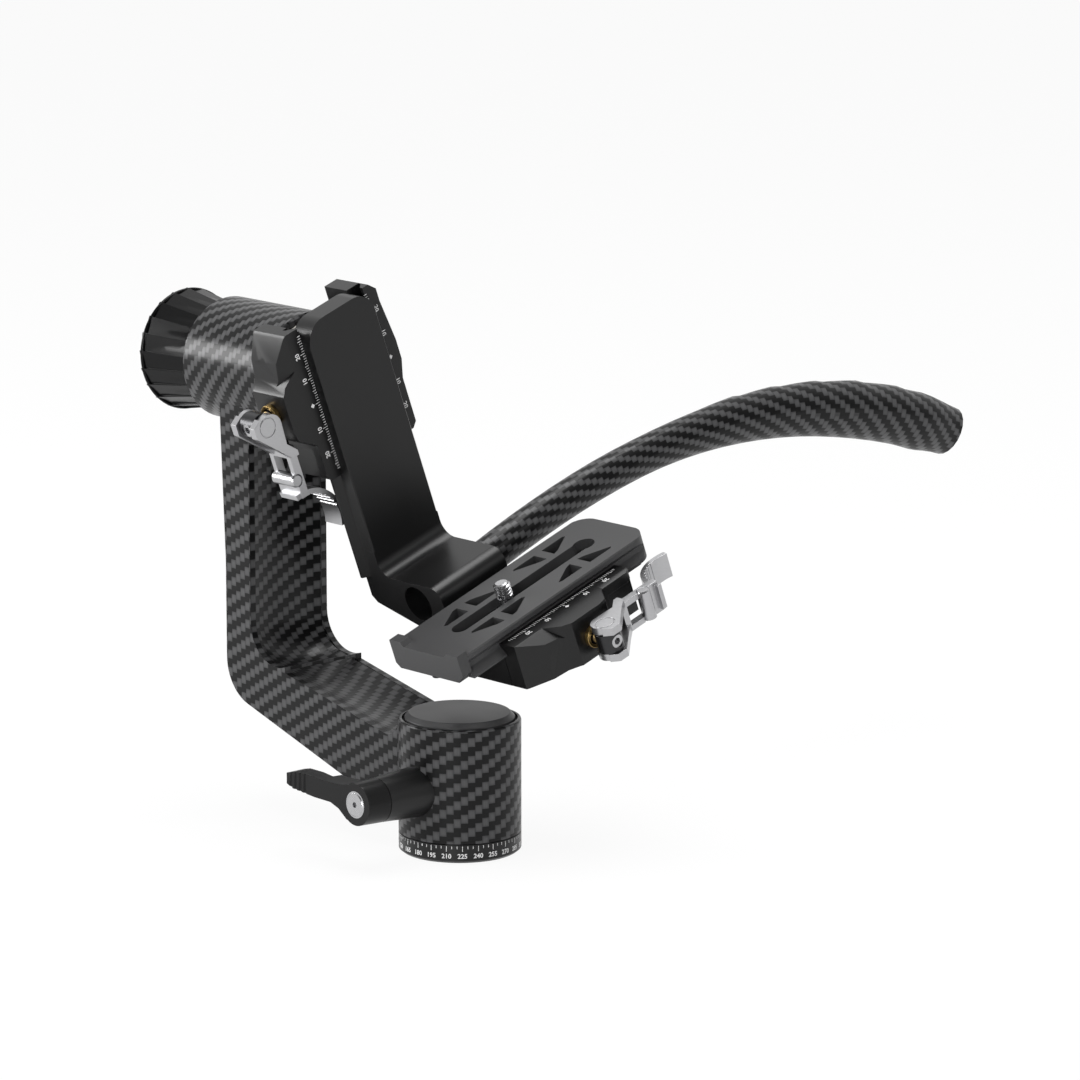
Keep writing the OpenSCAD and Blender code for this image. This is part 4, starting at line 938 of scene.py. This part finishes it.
class GIMBAL_OT_stage(bpy.types.Operator):
    """Pale floor, soft lights and the camera at the picture's angle"""
    bl_idname = "gimbal_head.stage"
    bl_label = "Stage"

    def pale_floor(self):
        """Floor that the camera sees nearly white, with the object's shadow on it."""
        floor = new_primitive(bpy.ops.mesh.primitive_plane_add, size=12, location=(0, 0, 0))
        floor.name = "floor"
        mat, tree, shader = new_material("floor_white")
        shader.inputs["Base Color"].default_value = (0.9, 0.9, 0.9, 1)
        shader.inputs["Roughness"].default_value = 0.9
        shader.inputs["Specular IOR Level"].default_value = 0.1
        path = tree.nodes.new("ShaderNodeLightPath")
        glow = tree.nodes.new("ShaderNodeEmission")
        mix = tree.nodes.new("ShaderNodeMixShader")
        seen = math_node(tree, "MAXIMUM", path.outputs["Is Camera Ray"], path.outputs["Is Glossy Ray"])
        seen = math_node(tree, "MAXIMUM", seen, path.outputs["Is Transmission Ray"])
        tree.links.new(math_node(tree, "MULTIPLY", seen, FLOOR_GLOW), mix.inputs[0])
        tree.links.new(shader.outputs[0], mix.inputs[1])
        tree.links.new(glow.outputs[0], mix.inputs[2])
        tree.links.new(mix.outputs[0], tree.nodes["Material Output"].inputs["Surface"])
        glow.inputs["Strength"].default_value = 1.0
        floor.data.materials.append(mat)

    def white_room(self, context):
        """World that is white to the camera and lights the object mostly from behind."""
        world = bpy.data.worlds.new("studio")
        context.scene.world = world
        world.use_nodes = True
        tree = world.node_tree
        background = tree.nodes["Background"]
        coords = tree.nodes.new("ShaderNodeTexCoord")
        behind = tree.nodes.new("ShaderNodeVectorMath")
        behind.operation = "DOT_PRODUCT"
        behind.inputs[1].default_value = (-math.sin(AZIMUTH), math.cos(AZIMUTH), 0.35)
        tree.links.new(coords.outputs["Generated"], behind.inputs[0])
        spread = tree.nodes.new("ShaderNodeMapRange")
        spread.interpolation_type = "SMOOTHSTEP"
        spread.inputs["From Min"].default_value = -0.5
        spread.inputs["From Max"].default_value = 1.0
        tree.links.new(behind.outputs["Value"], spread.inputs["Value"])
        room = grey(tree, mix_number(tree, spread.outputs["Result"], ROOM_FRONT, ROOM_BEHIND))
        # metal mirrors the white that stands behind the object, and the dark room in front of it
        path = tree.nodes.new("ShaderNodeLightPath")
        backdrop = math_node(tree, "POWER", spread.outputs["Result"], 3.0)
        mirrored = math_node(tree, "MULTIPLY", path.outputs["Is Glossy Ray"], backdrop)
        seen = math_node(tree, "MAXIMUM", path.outputs["Is Camera Ray"], mirrored)
        seen = math_node(tree, "MAXIMUM", seen, path.outputs["Is Transmission Ray"])
        white = mix_colour(tree, seen, room, (1.0, 1.0, 1.0, 1.0))
        tree.links.new(white, background.inputs["Color"])
        background.inputs["Strength"].default_value = 1.0

    def soft_lamps(self, context):
        """Four area lamps turned to the object."""
        target = Vector((0, 0, 0.12))
        lamps = (
            # name, place, width, height, power
            ("front", (1.13, -1.89, 0.34), 0.5, 0.75, 22.0),
            ("left", (-0.95, -0.86, 0.42), 0.6, 0.4, 11.0),
            ("right", (1.3, 0.45, 0.6), 0.4, 0.9, 2.5),
            ("top", (-0.15, 0.15, 1.4), 0.9, 0.9, 15.0),
        )
        for name, place, wide, tall, power in lamps:
            data = bpy.data.lights.new(name, "AREA")
            data.shape = "RECTANGLE"
            data.size, data.size_y = wide, tall
            data.energy = power
            lamp = bpy.data.objects.new(name, data)
            context.scene.collection.objects.link(lamp)
            lamp.location = place
            lamp.rotation_mode = "QUATERNION"
            lamp.rotation_quaternion = (target - Vector(place)).to_track_quat("-Z", "Y")

    def picture_camera(self, context):
        """Camera at the photograph's place."""
        right = Vector((math.cos(AZIMUTH), math.sin(AZIMUTH), 0))
        level = Vector((math.sin(AZIMUTH), -math.cos(AZIMUTH), 0))
        back = level * math.cos(ELEVATION) + Vector((0, 0, math.sin(ELEVATION)))
        up = back.cross(right)
        aim = Vector((0, 0, AIM_HEIGHT)) + AIM_RIGHT * right + AIM_UP * up
        data = bpy.data.cameras.new("camera")
        data.sensor_width = SENSOR
        data.lens = FOCAL_SHARE * SENSOR
        data.clip_start, data.clip_end = 0.05, 50.0
        camera = bpy.data.objects.new("camera", data)
        context.scene.collection.objects.link(camera)
        turn = Matrix((right, up, back)).transposed().to_4x4()
        turn.translation = (aim + CAMERA_FAR * back) * MM
        camera.matrix_world = turn
        context.scene.camera = camera

    def execute(self, context):
        self.pale_floor()
        self.white_room(context)
        self.soft_lamps(context)
        self.picture_camera(context)
        context.scene.view_settings.view_transform = "Standard"
        return {"FINISHED"}


class GIMBAL_PT_panel(bpy.types.Panel):
    """Lists the head's steps in the sidebar"""
    bl_label = "Gimbal head"
    bl_idname = "GIMBAL_PT_panel"
    bl_space_type = "VIEW_3D"
    bl_region_type = "UI"
    bl_category = "Gimbal head"

    def draw(self, context):
        settings = context.scene.gimbal_head
        for field in ("edge_round", "carbon_light", "carbon_dark", "anodised", "number_height"):
            self.layout.prop(settings, field)
        for step in STEPS:
            self.layout.operator(step.bl_idname)


STEPS = (
    GIMBAL_OT_materials, GIMBAL_OT_arm, GIMBAL_OT_handle, GIMBAL_OT_machined, GIMBAL_OT_clamps,
    GIMBAL_OT_knob, GIMBAL_OT_camera_screw, GIMBAL_OT_pan_scale, GIMBAL_OT_clamp_scales,
    GIMBAL_OT_stage,
)
CLASSES = (GimbalHeadSettings,) + STEPS + (GIMBAL_PT_panel,)


def register():
    for cls in CLASSES:
        bpy.utils.register_class(cls)
    bpy.types.Scene.gimbal_head = bpy.props.PointerProperty(type=GimbalHeadSettings)


def unregister():
    del bpy.types.Scene.gimbal_head
    for cls in reversed(CLASSES):
        bpy.utils.unregister_class(cls)


def main():
    register()
    bpy.ops.gimbal_head.materials()
    bpy.ops.gimbal_head.arm()
    bpy.ops.gimbal_head.handle()
    bpy.ops.gimbal_head.machined()
    bpy.ops.gimbal_head.clamps()
    bpy.ops.gimbal_head.knob()
    bpy.ops.gimbal_head.camera_screw()
    bpy.ops.gimbal_head.pan_scale()
    bpy.ops.gimbal_head.clamp_scales()
    bpy.ops.gimbal_head.stage()


if __name__ == "__main__":
    main()
